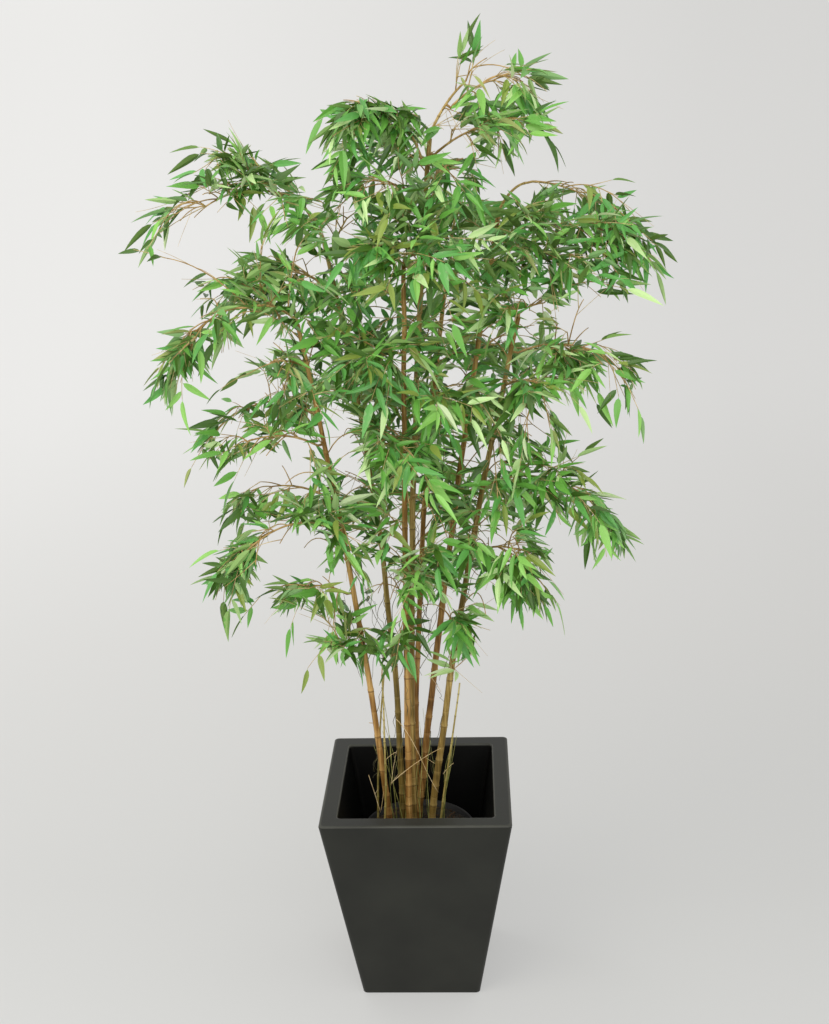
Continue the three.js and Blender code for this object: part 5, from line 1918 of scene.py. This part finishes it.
# ---- dry twigs ----
@dataclass
class DryTwigs:
    """Bare dry twigs that cross low among the canes, short forks at the foot, and fine threads that hang
    beside the canes."""

    rows: tuple[tuple[Sequence[float], Sequence[float], float, float], ...] = (
        ((-55, -56, 478), (53, -50, 557), 6, 1.0),
        ((-40, -50, 626), (9, -62, 543), 9, 0.9),
        ((9, -62, 543), (45, -54, 454), -5, 0.8),
        ((-81, -50, 404), (-103, -52, 495), 2, 0.9),
        ((-92, -51, 448), (-84, -55, 462), 0, 0.6),
        ((-80, -49, 408), (-73, -42, 450), -2, 0.8),
        ((-68, -34, 520), (-44, -36, 541), 2, 0.8),
        ((-57, -33, 464), (-43, -24, 538), 4, 0.7),
        ((-57, -40, 464), (-41, -44, 492), 1, 0.6),
        ((56, -34, 487), (79, -40, 516), 2, 0.9),
        ((22, -50, 533), (39, -54, 523), 0, 0.6),
        ((29, -6, 708), (55, -12, 670), 3, 0.8),
        ((-88, -38, 611), (-98, -46, 616), 0, 1.4),
    )
    threads: int = 60
    reeds: int = 22
    reed_spread: float = 62.0
    reed_height: tuple[float, float] = (110.0, 330.0)
    seed: int = 31

    def arches(self) -> Shell:
        """The bare twigs: a point is start + t (end - start) plus a bow up of 4 b t (1 - t)."""
        share = np.linspace(0, 1, 9)
        starts, ends = (np.array([row[k] for row in self.rows], float)[:, None] for k in (0, 1))
        bows = np.array([row[2] for row in self.rows])[:, None, None]
        paths = lerp(starts, ends, share[None, :, None]) + UP * bows * (4 * share * (1 - share))[:, None]
        thick = 0.8 * np.array([row[3] for row in self.rows])[:, None]
        return tubes(paths, thick * lerp(1.0, 0.62, share), 5)

    def thread_shell(self, skeleton: Skeleton) -> Shell:
        """Threads beside the canes: each starts at a cane's skin and runs down or up within a few millimetres
        of a line, wandering as two sine waves."""
        draw = np.random.default_rng(self.seed)
        limbs = [skeleton.limbs[row.name] for row in CANES]
        share = np.linspace(0, 1, 24)
        paths = []
        for _ in range(self.threads):
            limb = limbs[draw.integers(len(limbs))]
            height = draw.uniform(520, 1000)
            centre, radius, axis = limb.place(limb.share(height))
            out = heading(draw.uniform(0, 360))
            run = axis * draw.choice([-1, 1], p=[0.65, 0.35]) + out * draw.uniform(0.1, 0.5)
            run = unit(run) * draw.uniform(60, 150)
            waves = [np.sin(share * draw.uniform(6, 16) + draw.uniform(0, 6)) for _ in range(3)]
            wander = np.stack(waves, -1)
            wander = (wander - wander[0]) * draw.uniform(2, 5.5) * share[:, None] ** 0.5
            paths.append(centre + out * radius * 0.9 + run * share[:, None] + wander)
        return tubes(np.stack(paths), lerp(0.75, 0.35, share), 4)

    def reed_shell(self) -> Shell:
        """Thin young reeds between the canes: each rises from the filling as an arch that leans out, with a
        slight S."""
        draw = np.random.default_rng(self.seed + 2)
        share = np.linspace(0, 1, 14)
        turn = draw.uniform(0, 2 * np.pi, self.reeds)
        spread = self.reed_spread * np.sqrt(draw.uniform(0.05, 1, self.reeds))
        out = np.stack([np.cos(turn), np.sin(turn), np.zeros(self.reeds)], -1)
        foot = spread[:, None] * out + [0, 0, SOIL_TOP - 3]
        height = draw.uniform(*self.reed_height, self.reeds)
        lean = out * draw.uniform(-0.05, 0.3, (self.reeds, 1))
        sway = draw.normal(0, 4, (self.reeds, 3)) * [1, 1, 0]
        rise = UP * share[:, None] + lean[:, None] * (share**1.5)[:, None]
        paths = foot[:, None] + height[:, None, None] * rise
        paths = paths + sway[:, None] * np.sin(2 * np.pi * share)[:, None]
        radii = draw.uniform(0.7, 1.3, (self.reeds, 1)) * lerp(1.0, 0.4, share)
        return tubes(paths, radii, 5)

    def build(self, skeleton: Skeleton) -> None:
        """Adds the twigs, the threads and the reeds."""
        pale = WrappedTwig("dry", "#c8aa74", "#efd8a8").material()
        dark = WrappedTwig("withered", "#38351f", "#6f6a3c").material()
        piece("dry_twigs", self.arches(), [pale])
        green = WrappedTwig("reed", "#6c7036", "#a6a45c").material()
        piece("fine_threads", self.thread_shell(skeleton), [dark])
        piece("young_reeds", self.reed_shell(), [green])


# ---- studio ----
def pose(axes: Sequence[Array], place: Sequence[float]) -> Matrix:
    """The matrix that puts an object's own three axes along `axes` and its origin at `place`."""
    turn = np.eye(4)
    turn[:3, :3] = np.stack(axes, axis=1)
    turn[:3, 3] = place
    return Matrix(turn.tolist())


@dataclass
class Studio:
    """A pale seamless sweep, soft lights and the camera."""

    position: tuple[float, float, float] = (0.1303, -2.7308, 1.9526)
    yaw: float = -0.0442
    pitch: float = 0.3127
    roll: float = -0.0295
    focal: float = 1402.9  # in pixels of a picture 1024 high
    picture_height: float = 1024.0
    sensor: float = 36.0
    sweep_front: float = -4.0
    sweep_back: float = 6.4
    sweep_bend: float = 2.2
    sweep_height: float = 6.0
    sweep_half: float = 8.0

    def camera(self) -> None:
        """The camera, from its position and its yaw, downward pitch and roll in radians."""
        data = bpy.data.cameras.new("camera")
        data.sensor_width = self.sensor
        data.lens = self.focal * self.sensor / self.picture_height
        level = np.array([math.sin(self.yaw), math.cos(self.yaw), 0.0])
        forward = level * math.cos(self.pitch) - UP * math.sin(self.pitch)
        right = np.array([math.cos(self.yaw), -math.sin(self.yaw), 0.0])
        up = np.cross(right, forward)
        tilted = right * math.cos(self.roll) + up * math.sin(self.roll)
        upright = up * math.cos(self.roll) - right * math.sin(self.roll)
        made = added("camera", data)
        made.matrix_world = pose([tilted, upright, -forward], self.position)
        bpy.context.scene.camera = made

    def paint(self) -> Material:
        """The sweep's material. It glows a little more on the left, at the back and just in front of the
        planter, as painted light that keeps shadows faint. Its colour darkens towards the front as painted
        shade."""
        material, node = blank_material("painted_sweep")
        place = {"Vector": node("TexCoord").outputs["Object"]}
        axes = node("SeparateXYZ", links=place)
        along = {"Value": axes.outputs["Y"]}
        share = node("MapRange", {"From Min": -1.2, "From Max": self.sweep_back - 1}, along)
        # painted shade: the colour darkens towards the front
        skin = ramp(node, share, [(0.0, "#8a8c8b"), (0.45, "#8f8f8d"), (1.0, "#979796")])
        # painted light: the glow is stronger on the left, at the back and just in front of the planter, and
        # fills the shadows
        sideways = {"From Min": -2.2, "From Max": 1.6, "To Min": 0.405, "To Max": 0.305}
        backwards = {"From Min": 0.0, "From Max": 5.0, "To Min": 0.0, "To Max": 0.07}
        forwards = {"From Min": -0.35, "From Max": 0.3, "To Min": 0.035, "To Max": 0.0}
        glow = node("MapRange", sideways, {"Value": axes.outputs["X"]})
        deeper = node("MapRange", backwards, along)
        nearer = node("MapRange", forwards, along)
        behind = node("Math", {"operation": "ADD"}, {0: glow, 1: deeper})
        strength = node("Math", {"operation": "ADD"}, {0: behind, 1: nearer})
        plain = {"Emission Color": linear("#fffefc"), "Roughness": 0.9}
        surface(node, plain, {"Base Color": skin, "Emission Strength": strength})
        return material

    def sweep(self) -> None:
        """The floor and its backdrop in one curved sheet: level, then a quarter turn, then upright."""
        bend = np.radians(np.linspace(0, 90, 25))
        far = self.sweep_back - self.sweep_bend
        level = np.linspace(self.sweep_front, far, 12)
        y = np.concatenate([level, far + self.sweep_bend * np.sin(bend)[1:], [self.sweep_back]])
        z = np.concatenate([np.zeros(12), self.sweep_bend * (1 - np.cos(bend))[1:], [self.sweep_height]])
        x = np.linspace(-self.sweep_half, self.sweep_half, 3)
        grid = np.stack(np.broadcast_arrays(x[None], y[:, None], z[:, None]), -1)
        row, column = np.meshgrid(np.arange(len(y) - 1), np.arange(len(x) - 1), indexing="ij")
        low = row * len(x) + column
        faces = np.stack([low, low + 1, low + len(x) + 1, low + len(x)], -1).reshape(-1, 4)
        mesh = bpy.data.meshes.new("sweep")
        mesh.from_pydata(grid.reshape(-1, 3).tolist(), [], faces.tolist())
        mesh.polygons.foreach_set("use_smooth", np.ones(len(faces), bool))
        mesh.materials.append(self.paint())
        added("sweep", mesh)

    def light(
        self, name: str, place: Sequence[float], aim: Sequence[float], size: float, watts: float, shade: str
    ) -> None:
        """A square soft light.

        Args:
            name: its name.
            place: where it hangs.
            aim: the place that it faces.
            size: its side.
            watts: its strength.
            shade: its colour, as an sRGB hex shade.
        """
        data = bpy.data.lights.new(name, "AREA")
        data.size = size
        data.energy = watts
        data.color = linear(shade)[:3]
        back = unit(np.array(place, float) - np.array(aim, float))
        side = unit(np.cross(UP, back))
        added(name, data).matrix_world = pose([side, np.cross(back, side), back], place)

    def build(self) -> None:
        """Adds the camera, the sweep and the lights, and sets plain colours."""
        self.camera()
        self.sweep()
        middle = (0.0, 0.0, 1.1)
        self.light("key_light", (-1.9, -2.1, 3.8), middle, 2.6, 50, "#fff8ec")
        self.light("front_light", (0.9, -4.4, 2.9), (0.1, 0.0, 0.7), 3.0, 58, "#fdfcff")
        self.light("backdrop_light", (-2.8, 2.6, 4.4), (-1.0, 6.4, 1.6), 2.4, 60, "#ffffff")
        world = bpy.data.worlds.new("studio_air")
        bpy.context.scene.world = world
        world.use_nodes = True
        backdrop = world.node_tree.nodes["Background"]
        backdrop.inputs["Color"].default_value = linear("#f2f2f1")
        backdrop.inputs["Strength"].default_value = 0.95
        bpy.context.scene.view_settings.view_transform = "Standard"


def main() -> None:
    """Builds the studio, then the planter and the plant in order."""
    logging.basicConfig(level=logging.INFO, format="%(name)s %(message)s")
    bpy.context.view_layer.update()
    Studio().build()
    Planter().build()
    GrowingPot().build()
    Filling().build()
    skeleton = Skeleton()
    Canes(skeleton).build()
    Foliage(Grower(skeleton)).build()
    DryTwigs().build(skeleton)
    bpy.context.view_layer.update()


if __name__ == "__main__":
    main()
